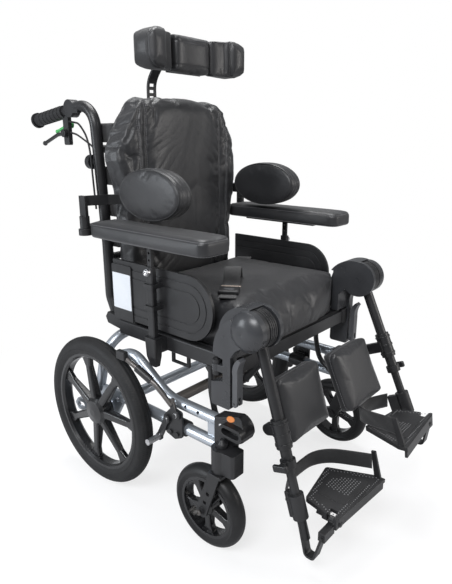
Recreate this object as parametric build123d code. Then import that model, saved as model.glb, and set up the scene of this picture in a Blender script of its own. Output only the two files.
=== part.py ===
from build123d import *
import math
import os

# ---------------------------------------------------------------------------
# Tilt-in-space wheelchair, millimetres.
# +X is the chair's left, -Y is the way it faces, +Z is up, and the floor is Z = 0.
# Right-hand pieces are at -X.  A side value of -1 means right and +1 means left.
# ---------------------------------------------------------------------------

SIDES = {"right": -1, "left": 1}

# fits
RUN = 0.05              # radial clearance of a pin that turns in a bore
SLIDE = 0.3             # clearance round a sliding piece
SEAT = 0.3              # gap between soft pieces and what carries them

# rear wheels
REAR_WHEEL_D = 406.0
REAR_TYRE_W = 44.0
REAR_TRACK_HALF = 296.0     # centre plane of a rear tyre
REAR_RIM_R = 161.0
REAR_RIM_INNER_R = 149.0
REAR_RIM_W = 34.0
HUB_R = 39.0
HUB_INNER_X = 275.0
HUB_OUTER_X = 321.0
REAR_SPOKES = 7
SPOKE_W = 24.0
SPOKE_DEPTH_HUB = 26.0
SPOKE_DEPTH_RIM = 15.0
SPOKE_FLARE_W = 40.0        # width where a spoke runs into the rim
SPOKE_TURN = -15.0
AXLE_R = 8.0
AXLE_Y = 188.26              # puts the origin in the middle of the chair
AXLE_Z = REAR_WHEEL_D / 2

# castors
CASTOR_D = 200.0
CASTOR_W = 40.0
CASTOR_RIM_R = 74.0
CASTOR_SPOKES = 5
CASTOR_X = 287.0
CASTOR_STEM_Y = AXLE_Y - 430.0
CASTOR_TRAIL = 38.0
CASTOR_AXLE_Y = CASTOR_STEM_Y + CASTOR_TRAIL
CASTOR_AXLE_Z = CASTOR_D / 2
CASTOR_AXLE_R = 5.0
CASTOR_WHEEL_GAP = 3.0      # tyre crown to fork crown
FORK_PLATE_T = 5.0
FORK_PLATE_W = 32.0
FORK_INSIDE_W = CASTOR_W + 6.0
FORK_CROWN_T = 6.0
STEM_R = 8.0
HOUSING_R = 24.0
HOUSING_H = 56.0

# base frame
FRAME_X = 255.0             # centre plane of a side frame
FRAME_TUBE_R = 14.0
TUBE_WALL = 2.5
UPPER_TUBE_Z = 302.0
LOWER_TUBE_Z = 241.0
CASTING_FRONT_Y = CASTOR_STEM_Y - 50.0
CASTING_REAR_Y = CASTOR_STEM_Y + 36.0
CASTING_TOP_Z = 333.0
CASTING_REAR_TOP_Z = 319.0
CASTING_BEVEL = 13.0        # cut along its outer top edge
CASTING_HALF_W = 17.0
WEB_T = 4.0
LOOP_R = 15.0               # round ends of the front tie-down loop
LOOP_WALL = 7.0
HOOP_TOP_Y = AXLE_Y + 2.0
HOOP_TOP_Z = 396.0
HOOP_FOOT_Y = AXLE_Y + 50.0
HOOP_FOOT_Z = 236.0
HOOP_BEND_R = 70.0
AXLE_PLATE_T = 10.0
AXLE_TUBE_R = 15.0
CROSS_TUBE_Y = AXLE_Y - 236.0
CROSS_TUBE_Z = 292.0
CROSS_TUBE_R = 12.5
TAIL_HOOK_Y = AXLE_Y + 172.0

# seat
RAIL_X = 226.0
RAIL_W = 22.0
RAIL_Z0 = 412.0
RAIL_Z1 = 450.0
SEAT_FRONT_Y = AXLE_Y - 430.0
SEAT_REAR_Y = AXLE_Y - 30.0
TILT_LUG_X = 150.0
TILT_LUG_T = 10.0
TILT_LUG_R = 22.0
TILT_DEG = 25.0
CUSHION_HALF_W = 216.0
CUSHION_TOP_Z = 560.0
CUSHION_FRONT_Y = AXLE_Y - 430.0
CUSHION_REAR_Y = AXLE_Y - 58.0

# armrests and side panels
POST_X = 265.0
POST_Y = AXLE_Y - 195.0
COLUMN_D = 22.0             # front to back
COLUMN_W = 15.0
SOCKET_D = 38.0
SOCKET_W = 27.0
COLUMN_TOP_Z = 622.0
COLUMN_WALL = 3.0
SOCKET_TOP_Z = 452.0
SOCKET_BOTTOM_Z = 378.0
ARM_PAD_L = 385.0
ARM_PAD_W = 92.0
ARM_PAD_T = 38.0
ARM_PAD_X = 255.0
ARM_PAD_Z = 672.0           # underside
ARM_PAD_REAR_Y = AXLE_Y - 10.0
PANEL_X = 239.0
PANEL_T = 8.0
PANEL_REAR_Y = AXLE_Y - 26.0
PANEL_FRONT_Y = AXLE_Y - 365.0
PANEL_Z0 = 462.0
PANEL_Z1 = 613.0

# back
CANE_X = 205.0
CANE_R = 14.0
BACK_PIVOT_Y = AXLE_Y + 20.0
BACK_PIVOT_Z = 443.0
BACK_PIN_R = 6.0
BACK_FRONT_Y = AXLE_Y - 50.0
BACK_REAR_Y = AXLE_Y + 14.0
BACK_BOTTOM_Z = 512.0
BACK_TOP_Z = 1003.0
BACK_LOW_HALF_W = 193.0
BACK_WIDE_HALF_W = 221.0
BACK_TOP_HALF_W = 164.0
CROSS_BAR_Z = (600.0, 876.0)

# push handles
HANDLE_PIVOT_Y = AXLE_Y + 158.0
HANDLE_PIVOT_Z = 976.0
GRIP_R = 16.5
GRIP_LENGTH = 135.0
GRIP_DROP_DEG = 8.0

# legrests, one setting a side: (knee y, knee z, slope from vertical, outer tube, foot sleeve)
LEG_X = 220.0
KNEE_R = 43.0
LEG = {
    "right": {"knee_y": AXLE_Y - 468.0, "knee_z": 527.0, "slope": 17.5, "outer": 300.0,
              "calf": 227.0, "pad": 21.0, "sleeve": 388.0, "end": 462.0},
    "left": {"knee_y": AXLE_Y - 478.0, "knee_z": 549.0, "slope": 25.0, "outer": 260.0,
             "calf": 187.0, "pad": -30.0, "sleeve": 345.0, "end": 420.0},
}

os.makedirs("parts", exist_ok=True)


# ---------------------------------------------------------------------------
# shape helpers
# ---------------------------------------------------------------------------

def save(name, *solids):
    """Write one sub-part, as one solid or as a group of separate ones."""
    shape = solids[0] if len(solids) == 1 else Compound(children=list(solids))
    export_step(shape, f"parts/{name}.step")


def sided(shape, side):
    """Everything is drawn on the left; the right-hand piece is its mirror image."""
    return shape if side > 0 else mirror(shape, about=Plane.YZ)


def block(x0, x1, y0, y1, z0, z1):
    """A block between two opposite corners."""
    centre = Pos((x0 + x1) / 2, (y0 + y1) / 2, (z0 + z1) / 2)
    return centre * Box(abs(x1 - x0), abs(y1 - y0), abs(z1 - z0))


def soft_block(x0, x1, y0, y1, z0, z1, radius):
    """A block with every edge rounded."""
    body = block(x0, x1, y0, y1, z0, z1)
    return fillet(body.edges(), radius)


def bar(start, end, radius):
    """A straight round bar between two points."""
    a = Vector(*start)
    b = Vector(*end)
    section = Plane(origin=a, z_dir=b - a) * Circle(radius)
    return extrude(section, amount=(b - a).length)


def across(x0, x1, y, z, radius):
    """A round bar along X."""
    return bar((min(x0, x1), y, z), (max(x0, x1), y, z), radius)


def upright(x, y, z0, z1, radius):
    """A round bar along Z."""
    return bar((x, y, z0), (x, y, z1), radius)


def pipe(points, radius, bends, bore=0.0):
    """A bent tube along straight runs joined by tangent arcs."""
    path = FilletPolyline(*points, radius=bends)
    start = Plane(origin=path @ 0, z_dir=path % 0)
    tube = sweep(start * Circle(radius), path=path)
    if bore > 0:
        tube -= sweep(start * Circle(bore), path=path)
    return tube


def ribbon(points, width, thickness, bends, across_axis=(1, 0, 0)):
    """A flat bar bent along a path, its width along the given axis at the start."""
    path = FilletPolyline(*points, radius=bends)
    start = Plane(origin=path @ 0, x_dir=across_axis, z_dir=path % 0)
    return sweep(start * Rectangle(width, thickness), path=path)


def plate_yz(x0, x1, outline, corner=0.0):
    """A flat plate whose outline lies in the YZ plane."""
    plane = Plane(origin=(x0, 0, 0), x_dir=(0, 1, 0), z_dir=(1, 0, 0))
    face = make_face(Polyline(*outline, close=True))
    if corner > 0:
        face = fillet(face.vertices(), corner)
    return extrude(plane * face, amount=x1 - x0)


def stadium_yz(x0, x1, start, end, radius):
    """A plate with two round ends, between two points in the YZ plane."""
    a = Vector(*start)
    b = Vector(*end)
    angle = math.degrees(math.atan2(b.Y - a.Y, b.X - a.X))
    length = (b - a).length + 2 * radius
    plane = Plane(origin=(x0, 0, 0), x_dir=(0, 1, 0), z_dir=(1, 0, 0))
    face = Pos((a.X + b.X) / 2, (a.Y + b.Y) / 2) * Rot(0, 0, angle) * SlotOverall(length, 2 * radius)
    return extrude(plane * face, amount=x1 - x0)


def ring_x(outline):
    """A ring turned about the X axis from an outline of (x, radius) points."""
    face = make_face(Polyline(*[(x, 0, r) for x, r in outline], close=True))
    return revolve(face, axis=Axis.X)


def on_axle(shape, x, y, z):
    return Pos(x, y, z) * shape


# ---------------------------------------------------------------------------
# rear wheels
# ---------------------------------------------------------------------------

def rear_tyre():
    """A fat tyre with straight sidewalls, a shoulder and a round crown."""
    half = REAR_TYRE_W / 2
    base = REAR_RIM_W / 2
    crown_r = REAR_WHEEL_D / 2
    shoulder_r = crown_r - 17
    outline = Wire([
        Line((-base, 0, REAR_RIM_R), (base, 0, REAR_RIM_R)),
        Line((base, 0, REAR_RIM_R), (half, 0, REAR_RIM_R + 9)),
        Line((half, 0, REAR_RIM_R + 9), (half, 0, shoulder_r)),
        ThreePointArc((half, 0, shoulder_r), (0, 0, crown_r), (-half, 0, shoulder_r)),
        Line((-half, 0, shoulder_r), (-half, 0, REAR_RIM_R + 9)),
        Line((-half, 0, REAR_RIM_R + 9), (-base, 0, REAR_RIM_R)),
    ])
    return revolve(make_face(outline), axis=Axis.X)


def rear_rim():
    """One moulding: rim, seven tapered spokes and a hub with a domed cap."""
    half = REAR_RIM_W / 2
    rim = ring_x([
        (-half, REAR_RIM_R - RUN), (half, REAR_RIM_R - RUN), (half, REAR_RIM_INNER_R + 5),
        (half - 6, REAR_RIM_INNER_R), (6 - half, REAR_RIM_INNER_R), (-half, REAR_RIM_INNER_R + 5),
    ])
    hub_in = HUB_INNER_X - REAR_TRACK_HALF
    hub_out = HUB_OUTER_X - REAR_TRACK_HALF
    hub = ring_x([
        (hub_in, AXLE_R + RUN), (hub_in, HUB_R - 6), (hub_in + 10, HUB_R), (hub_out - 12, HUB_R),
        (hub_out - 4, HUB_R - 8), (hub_out, 10), (hub_out, 0), (hub_out - 8, 0),
        (hub_out - 8, AXLE_R + RUN),
    ])
    inner = Plane(origin=(2, 0, HUB_R - 6), z_dir=(0, 0, 1)) * RectangleRounded(
        SPOKE_DEPTH_HUB, SPOKE_W, 7)
    waist = Plane(origin=(0, 0, REAR_RIM_INNER_R - 26), z_dir=(0, 0, 1)) * RectangleRounded(
        SPOKE_DEPTH_RIM + 1, SPOKE_W - 3, 6)
    outer = Plane(origin=(0, 0, REAR_RIM_INNER_R + 3), z_dir=(0, 0, 1)) * RectangleRounded(
        SPOKE_DEPTH_RIM, SPOKE_FLARE_W, 6)
    spoke = loft([inner, waist, outer], ruled=True)
    step = 360 / REAR_SPOKES
    wheel = rim + hub
    for number in range(REAR_SPOKES):
        wheel += Rot(number * step + SPOKE_TURN, 0, 0) * spoke
    return wheel


def rear_wheel_place(shape):
    return on_axle(shape, REAR_TRACK_HALF, AXLE_Y, AXLE_Z)


# ---------------------------------------------------------------------------
# castors
# ---------------------------------------------------------------------------

def castor_wheel():
    """Solid tyre on a five-spoke rim; two separate solids."""
    half = CASTOR_W / 2
    crown_r = CASTOR_D / 2
    outline = Wire([
        Line((-half + 4, 0, CASTOR_RIM_R), (half - 4, 0, CASTOR_RIM_R)),
        Line((half - 4, 0, CASTOR_RIM_R), (half, 0, crown_r - 16)),
        ThreePointArc((half, 0, crown_r - 16), (0, 0, crown_r), (-half, 0, crown_r - 16)),
        Line((-half, 0, crown_r - 16), (-half + 4, 0, CASTOR_RIM_R)),
    ])
    tyre = revolve(make_face(outline), axis=Axis.X)
    rim_half = half - 4
    rim = ring_x([
        (-rim_half, CASTOR_RIM_R - RUN), (rim_half, CASTOR_RIM_R - RUN),
        (rim_half, CASTOR_RIM_R - 7), (-rim_half, CASTOR_RIM_R - 7),
    ])
    hub = ring_x([
        (-half, CASTOR_AXLE_R + RUN), (half, CASTOR_AXLE_R + RUN), (half, 12),
        (half - 7, 19), (7 - half, 19), (-half, 12),
    ])
    inner = Plane(origin=(0, 0, 15), z_dir=(0, 0, 1)) * RectangleRounded(22, 17, 4)
    waist = Plane(origin=(0, 0, CASTOR_RIM_R - 24), z_dir=(0, 0, 1)) * RectangleRounded(18, 18, 4)
    outer = Plane(origin=(0, 0, CASTOR_RIM_R - 5), z_dir=(0, 0, 1)) * RectangleRounded(18, 36, 4)
    spoke = loft([inner, waist, outer], ruled=True)
    centre = rim + hub
    for number in range(CASTOR_SPOKES):
        centre += Rot(number * 360 / CASTOR_SPOKES + 36, 0, 0) * spoke
    place = Pos(CASTOR_X, CASTOR_AXLE_Y, CASTOR_AXLE_Z)
    return place * tyre, place * centre


FORK_CROWN_Z = CASTOR_D + CASTOR_WHEEL_GAP
HOUSING_Z0 = FORK_CROWN_Z + FORK_CROWN_T + 1.0
HOUSING_Z1 = HOUSING_Z0 + HOUSING_H


def castor_fork():
    """Crown plate, two leaning side plates, a stem with its cap nut, and the wheel's axle."""
    inside = FORK_INSIDE_W / 2
    outside = inside + FORK_PLATE_T
    crown = block(CASTOR_X - outside, CASTOR_X + outside, CASTOR_STEM_Y - 19, CASTOR_STEM_Y + 19,
                  FORK_CROWN_Z, FORK_CROWN_Z + FORK_CROWN_T)
    fork = crown + upright(CASTOR_X, CASTOR_STEM_Y, FORK_CROWN_Z, HOUSING_Z1 + 12, STEM_R)
    fork += upright(CASTOR_X, CASTOR_STEM_Y, HOUSING_Z1 + 1, HOUSING_Z1 + 9, 13)
    fork += Pos(CASTOR_X, CASTOR_STEM_Y, HOUSING_Z1 + 9) * Cone(
        11, 5, 9, align=(Align.CENTER, Align.CENTER, Align.MIN))
    half = FORK_PLATE_W / 2
    for sign in (-1, 1):
        x0 = CASTOR_X + sign * inside
        x1 = CASTOR_X + sign * outside
        leg = plate_yz(min(x0, x1), max(x0, x1), [
            (CASTOR_STEM_Y - half, FORK_CROWN_Z + FORK_CROWN_T),
            (CASTOR_STEM_Y + half, FORK_CROWN_Z + FORK_CROWN_T),
            (CASTOR_AXLE_Y + half, CASTOR_AXLE_Z),
            (CASTOR_AXLE_Y - half, CASTOR_AXLE_Z),
        ])
        leg += across(x0, x1, CASTOR_AXLE_Y, CASTOR_AXLE_Z, half)
        for step in (1, 2):
            share = step * 26 / (FORK_CROWN_Z - CASTOR_AXLE_Z)
            y = CASTOR_AXLE_Y - share * CASTOR_TRAIL
            leg -= across(x0 - 1, x1 + 1, y, CASTOR_AXLE_Z + step * 26, CASTOR_AXLE_R)
        fork += leg
        fork += across(x1, x1 + sign * 5, CASTOR_AXLE_Y, CASTOR_AXLE_Z, 9)
    fork += across(CASTOR_X - inside - 1, CASTOR_X + inside + 1, CASTOR_AXLE_Y, CASTOR_AXLE_Z,
                   CASTOR_AXLE_R)
    return fork


# ---------------------------------------------------------------------------
# base frame
# ---------------------------------------------------------------------------

def hoop():
    """Inverted U of tube that joins the two axle plates; the seat tilts about its top."""
    return pipe([
        (-FRAME_X, HOOP_FOOT_Y, HOOP_FOOT_Z),
        (-FRAME_X, HOOP_TOP_Y, HOOP_TOP_Z),
        (FRAME_X, HOOP_TOP_Y, HOOP_TOP_Z),
        (FRAME_X, HOOP_FOOT_Y, HOOP_FOOT_Z),
    ], FRAME_TUBE_R, HOOP_BEND_R, FRAME_TUBE_R - TUBE_WALL)


PLATE_FRONT_Y = AXLE_Y - 52.0


def axle_plate():
    """Flat plate that carries the axle, the hoop's foot and a tie-down hook on its tail."""
    x0 = FRAME_X - AXLE_PLATE_T / 2
    x1 = FRAME_X + AXLE_PLATE_T / 2
    plate = plate_yz(x0, x1, [
        (PLATE_FRONT_Y, LOWER_TUBE_Z + 16), (AXLE_Y + 30, HOOP_FOOT_Z + 16),
        (HOOP_FOOT_Y + 18, HOOP_FOOT_Z + 4), (HOOP_FOOT_Y + 24, AXLE_Z - 4),
        (TAIL_HOOK_Y - 36, 172), (TAIL_HOOK_Y - 10, 168), (TAIL_HOOK_Y + 4, 150),
        (TAIL_HOOK_Y - 10, 132), (TAIL_HOOK_Y - 44, 136), (AXLE_Y + 50, AXLE_Z - 40),
        (AXLE_Y - 20, AXLE_Z - 32), (PLATE_FRONT_Y, LOWER_TUBE_Z - 18),
    ])
    plate -= stadium_yz(x0 - 1, x1 + 1, (TAIL_HOOK_Y - 34, 152), (TAIL_HOOK_Y - 16, 150), 9)
    plate -= across(x0 - 1, x1 + 1, AXLE_Y - 32, AXLE_Z + 26, 7)
    plate -= across(x0 - 1, x1 + 1, AXLE_Y + 44, AXLE_Z - 8, 7)
    stub = across(FRAME_X, HUB_OUTER_X - 10, AXLE_Y, AXLE_Z, AXLE_R)
    collar = across(FRAME_X, HUB_INNER_X - 1, AXLE_Y, AXLE_Z, 16)
    return plate + stub + collar


def axle_frame():
    """Hoop, axle plates and the tube between them, welded into one piece."""
    frame = hoop()
    frame += across(-FRAME_X, FRAME_X, AXLE_Y, AXLE_Z, AXLE_TUBE_R)
    plate = axle_plate()
    frame += plate
    frame += mirror(plate, about=Plane.YZ)
    return frame


def side_frame(rear_frame):
    """Two bent tubes and a web; the upper one arches up and is coped onto the hoop."""
    upper = pipe([
        (FRAME_X, CASTING_REAR_Y, UPPER_TUBE_Z),
        (FRAME_X, AXLE_Y - 232, UPPER_TUBE_Z),
        (FRAME_X, AXLE_Y - 108, HOOP_TOP_Z - 12),
        (FRAME_X, HOOP_TOP_Y + 6, HOOP_TOP_Z - 58),
    ], FRAME_TUBE_R, [110, 56], FRAME_TUBE_R - TUBE_WALL)
    lower_ends = ((FRAME_X, CASTING_REAR_Y, LOWER_TUBE_Z), (FRAME_X, PLATE_FRONT_Y, LOWER_TUBE_Z))
    lower = bar(*lower_ends, FRAME_TUBE_R) - bar(*lower_ends, FRAME_TUBE_R - TUBE_WALL)
    web = block(FRAME_X - WEB_T / 2, FRAME_X + WEB_T / 2, CASTING_REAR_Y + 6, CASTING_REAR_Y + 34,
                LOWER_TUBE_Z + FRAME_TUBE_R - 2, UPPER_TUBE_Z - FRAME_TUBE_R + 2)
    frame = upper + lower + web
    for y in (AXLE_Y - 300, AXLE_Y - 340):
        frame -= across(FRAME_X, FRAME_X + 30, y, UPPER_TUBE_Z + 4, 4)
    frame -= rear_frame
    return max(frame.solids(), key=lambda piece: piece.volume)


def castor_casting():
    """Casting that ends both tubes and holds the castor stem, tie-down loop and rest bar."""
    x0 = FRAME_X - CASTING_HALF_W
    x1 = FRAME_X + CASTING_HALF_W
    low_z = LOWER_TUBE_Z - 19
    top_y = CASTING_FRONT_Y + 28
    body = prism_x([
        Line((CASTING_REAR_Y, low_z), (CASTING_REAR_Y, CASTING_REAR_TOP_Z)),
        Line((CASTING_REAR_Y, CASTING_REAR_TOP_Z), (top_y, CASTING_TOP_Z)),
        ThreePointArc((top_y, CASTING_TOP_Z), (CASTING_FRONT_Y + 7, CASTING_TOP_Z - 12),
                      (CASTING_FRONT_Y, CASTING_TOP_Z - 34)),
        Line((CASTING_FRONT_Y, CASTING_TOP_Z - 34), (CASTING_FRONT_Y + 6, CASTING_TOP_Z - 48)),
        Line((CASTING_FRONT_Y + 6, CASTING_TOP_Z - 48), (CASTOR_STEM_Y - 8, LOWER_TUBE_Z + 20)),
        Line((CASTOR_STEM_Y - 8, LOWER_TUBE_Z + 20), (CASTOR_STEM_Y - 2, low_z)),
        Line((CASTOR_STEM_Y - 2, low_z), (CASTING_REAR_Y, low_z)),
    ], x0, x1)
    bevel = make_face(Polyline(
        (x0, low_z - 1), (x1, low_z - 1), (x1, CASTING_TOP_Z - CASTING_BEVEL),
        (x1 - CASTING_BEVEL, CASTING_TOP_Z + 1), (x0, CASTING_TOP_Z + 1), close=True))
    front_plane = Plane(origin=(0, CASTING_REAR_Y + 1, 0), x_dir=(1, 0, 0), z_dir=(0, -1, 0))
    body &= extrude(front_plane * bevel, amount=CASTING_REAR_Y - CASTING_FRONT_Y + 2)
    body += upright(CASTOR_X, CASTOR_STEM_Y, HOUSING_Z0, HOUSING_Z1, HOUSING_R)
    nose = block(CASTOR_X - HOUSING_R + 2, CASTOR_X + HOUSING_R - 5, CASTING_FRONT_Y + 4,
                 CASTOR_STEM_Y, HOUSING_Z0 + 3, HOUSING_Z1)
    body += fillet(nose.edges().filter_by(Axis.Z), 8)
    body += block(x1 - 2, CASTOR_X - HOUSING_R + 8, CASTING_FRONT_Y + 16, CASTOR_STEM_Y,
                  HOUSING_Z1 - 22, HOUSING_Z1 - 1)
    body += block(FRAME_X, CASTOR_X, CASTOR_STEM_Y - 20, CASTOR_STEM_Y + 20, HOUSING_Z0 + 12,
                  HOUSING_Z1 - 6)
    loop_x0 = FRAME_X + CASTING_HALF_W - 2
    loop_rear = (CASTOR_STEM_Y - 6, 306)
    loop_front = (CASTOR_STEM_Y - 38, 305)
    body += stadium_yz(loop_x0, loop_x0 + 18, loop_rear, loop_front, LOOP_R)
    body -= stadium_yz(loop_x0 + 2, loop_x0 + 30, loop_rear, loop_front, LOOP_R - LOOP_WALL)
    body -= upright(CASTOR_X, CASTOR_STEM_Y, HOUSING_Z0 - 1, HOUSING_Z1 + 1, STEM_R + RUN)
    body -= upright(CASTOR_X, CASTOR_STEM_Y, HOUSING_Z1, HOUSING_Z1 + 26, 16)
    return body + rest_bar()


def rest_bar():
    """Curved bar up from the casting; the level seat rests on the pad at its top."""
    x = RAIL_X
    foot_y = CASTING_REAR_Y - 12
    rest = pipe([
        (x, foot_y, LOWER_TUBE_Z + 6),
        (x, AXLE_Y - 357, LOWER_TUBE_Z + 42),
        (x, AXLE_Y - 343, 345),
        (x, AXLE_Y - 343, RAIL_Z0 - 7),
    ], 7, [60, 120])
    rest += upright(x, AXLE_Y - 343, RAIL_Z0 - 8, RAIL_Z0 - SEAT, 10)
    rest += across(x, FRAME_X - CASTING_HALF_W + 1, foot_y, LOWER_TUBE_Z + 6, 9)
    return rest


# ---------------------------------------------------------------------------
# brakes
# ---------------------------------------------------------------------------

BRAKE_Y = AXLE_Y - 282.0
BRAKE_Z = 284.0
SHOE_PIVOT_Y = AXLE_Y - 250.0
SHOE_PIVOT_Z = 262.0
SHOE_Y = AXLE_Y - 221.0
SHOE_Z = 205.0
BRAKE_PIN_R = 5.0
BRAKE_PLATE_X = FRAME_X + 22.0


def brake_clamp():
    """Saddle round the lower tube with a side plate and two pivot pins."""
    saddle = bar((FRAME_X, BRAKE_Y - 12, LOWER_TUBE_Z), (FRAME_X, BRAKE_Y + 38, LOWER_TUBE_Z),
                 FRAME_TUBE_R + 5)
    saddle += block(FRAME_X + 8, BRAKE_PLATE_X - 4, BRAKE_Y, BRAKE_Y + 26, LOWER_TUBE_Z - 12,
                    LOWER_TUBE_Z + 24)
    saddle -= bar((FRAME_X, BRAKE_Y - 40, LOWER_TUBE_Z), (FRAME_X, BRAKE_Y + 60, LOWER_TUBE_Z),
                  FRAME_TUBE_R + RUN)
    plate = plate_yz(BRAKE_PLATE_X - 5, BRAKE_PLATE_X, [
        (BRAKE_Y - 14, LOWER_TUBE_Z - 14), (BRAKE_Y + 10, LOWER_TUBE_Z - 26),
        (BRAKE_Y + 40, LOWER_TUBE_Z - 18), (SHOE_PIVOT_Y + 15, SHOE_PIVOT_Z + 5),
        (BRAKE_Y + 18, BRAKE_Z + 14), (BRAKE_Y - 14, BRAKE_Z + 8),
    ], 5)
    clamp = saddle + plate
    for bolt_y in (BRAKE_Y + 2, BRAKE_Y + 24):
        clamp += across(BRAKE_PLATE_X - 1, BRAKE_PLATE_X + 4, bolt_y, LOWER_TUBE_Z - 10, 6)
    clamp += across(BRAKE_PLATE_X - 1, BRAKE_PLATE_X + 12, BRAKE_Y, BRAKE_Z, BRAKE_PIN_R)
    clamp += across(BRAKE_PLATE_X - 1, BRAKE_PLATE_X + 12, SHOE_PIVOT_Y, SHOE_PIVOT_Z, BRAKE_PIN_R)
    return clamp


SLEEVE_LOW = (BRAKE_PLATE_X + 15.0, BRAKE_Y + 54.0, BRAKE_Z + 64.0)
SLEEVE_HIGH = (BRAKE_PLATE_X + 28.0, BRAKE_Y + 122.0, BRAKE_Z + 102.0)


def brake_lever():
    """Flat lever on its pivot, cranked outward and back over the tyre, with a grip sleeve."""
    x0 = BRAKE_PLATE_X + 0.5
    x1 = x0 + 6
    link = plate_yz(x0, x1, [
        (BRAKE_Y - 9, BRAKE_Z - 8), (BRAKE_Y + 9, BRAKE_Z - 8),
        (BRAKE_Y + 25, BRAKE_Z + 34), (BRAKE_Y + 9, BRAKE_Z + 40),
    ])
    link += across(x0, x1, BRAKE_Y, BRAKE_Z, 12)
    link -= across(x0 - 1, x1 + 1, BRAKE_Y, BRAKE_Z, BRAKE_PIN_R + RUN)
    shaft = pipe([
        (x0 + 6, BRAKE_Y + 12, BRAKE_Z + 22),
        SLEEVE_LOW,
        SLEEVE_HIGH,
        (x0 + 33, BRAKE_Y + 158, BRAKE_Z + 118),
    ], 6, [30, 30])
    way = Vector(*SLEEVE_HIGH) - Vector(*SLEEVE_LOW)
    sleeve = bar(Vector(*SLEEVE_LOW) + way * 0.2, Vector(*SLEEVE_LOW) + way * 0.8, 9.5)
    tip = soft_block(x0 + 26, x0 + 40, BRAKE_Y + 136, BRAKE_Y + 168, BRAKE_Z + 107, BRAKE_Z + 129, 3)
    return link + shaft + sleeve + tip


def brake_shoe():
    """Short arm whose knurled pin lies across the tyre's tread."""
    x0 = BRAKE_PLATE_X + 0.5
    x1 = x0 + 6
    arm = plate_yz(x0, x1, [
        (SHOE_PIVOT_Y - 9, SHOE_PIVOT_Z), (SHOE_PIVOT_Y + 9, SHOE_PIVOT_Z),
        (SHOE_Y + 9, SHOE_Z), (SHOE_Y - 9, SHOE_Z),
    ])
    arm += across(x0, x1, SHOE_PIVOT_Y, SHOE_PIVOT_Z, 10)
    arm += across(x0, x1, SHOE_Y, SHOE_Z, 10)
    arm -= across(x0 - 1, x1 + 1, SHOE_PIVOT_Y, SHOE_PIVOT_Z, BRAKE_PIN_R + RUN)
    arm += across(x1 - 1, REAR_TRACK_HALF + 24, SHOE_Y, SHOE_Z, 7.5)
    return arm


# ---------------------------------------------------------------------------
# seat unit
# ---------------------------------------------------------------------------

SPRING_LOW_Y = AXLE_Y - 256.0
SPRING_LOW_Z = 262.0
SPRING_TOP_Y = AXLE_Y - 386.0
SPRING_TOP_Z = 422.0
SPRING_PIN_R = 4.0
SPRING_EYE_R = 9.0
SPRING_SLACK = 7.0          # the top pin floats in its slot, so the spring can follow the seat
CYLINDER_R = 11.0
CYLINDER_L = 150.0
PISTON_R = 5.0
LUG_X = CYLINDER_R + SLIDE   # the lower lugs stand clear of the turning cylinder
LUG_T = 5.0
EYE_HALF_W = CYLINDER_R - 1.0
SWING_X = 254.0
SWING_Y = AXLE_Y - 387.0
SWING_PIN_R = 6.0
EAR_T = 9.0
KNUCKLE_H = 16.0
KNUCKLE_Z = 431.0


def cross_tube(rear_frame):
    """Brown-grey tube between the side frames, with the tilt spring's lower lugs."""
    tube_ends = ((-FRAME_X, CROSS_TUBE_Y, CROSS_TUBE_Z), (FRAME_X, CROSS_TUBE_Y, CROSS_TUBE_Z))
    tube = bar(*tube_ends, CROSS_TUBE_R)
    for side in SIDES.values():
        frame = sided(side_frame(rear_frame), side)
        tube -= frame
        tube -= sided(bar((FRAME_X, CASTING_REAR_Y, UPPER_TUBE_Z), (FRAME_X, AXLE_Y - 200, UPPER_TUBE_Z),
                          FRAME_TUBE_R), side)
    tube = max(tube.solids(), key=lambda piece: piece.volume)
    for side in SIDES.values():
        x0 = side * LUG_X
        x1 = side * (LUG_X + LUG_T)
        tube += plate_yz(min(x0, x1), max(x0, x1), [
            (CROSS_TUBE_Y + 10, CROSS_TUBE_Z + 6), (CROSS_TUBE_Y - 6, CROSS_TUBE_Z + 10),
            (SPRING_LOW_Y - 9, SPRING_LOW_Z + 2), (SPRING_LOW_Y - 6, SPRING_LOW_Z - 9),
            (SPRING_LOW_Y + 8, SPRING_LOW_Z - 9), (CROSS_TUBE_Y + 10, CROSS_TUBE_Z - 8),
        ])
    return tube + across(-LUG_X - 1, LUG_X + 1, SPRING_LOW_Y, SPRING_LOW_Z, SPRING_PIN_R)


def spring_direction():
    return Vector(0, SPRING_TOP_Y - SPRING_LOW_Y, SPRING_TOP_Z - SPRING_LOW_Z)


def spring_point(distance):
    """A point on the gas spring's line, measured from its lower pin."""
    way = spring_direction().normalized()
    return (0, SPRING_LOW_Y + way.Y * distance, SPRING_LOW_Z + way.Z * distance)


def tilt_cylinder():
    """Gas spring cylinder with its lower eye, bored for the rod."""
    body = bar(spring_point(12), spring_point(CYLINDER_L), CYLINDER_R)
    body += bar(spring_point(0), spring_point(14), 6)
    body += across(-EYE_HALF_W, EYE_HALF_W, SPRING_LOW_Y, SPRING_LOW_Z, SPRING_EYE_R)
    body -= bar(spring_point(16), spring_point(CYLINDER_L + 1), PISTON_R + RUN)
    return body - across(-LUG_X, LUG_X, SPRING_LOW_Y, SPRING_LOW_Z, SPRING_PIN_R + RUN)


def tilt_rod():
    """Piston rod with a top eye and the pin that floats in the seat frame's slots."""
    length = spring_direction().length
    rod = bar(spring_point(20), spring_point(length), PISTON_R)
    rod += across(-7, 7, SPRING_TOP_Y, SPRING_TOP_Z, SPRING_EYE_R)
    return rod + across(-18, 18, SPRING_TOP_Y, SPRING_TOP_Z, SPRING_PIN_R)


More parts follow.
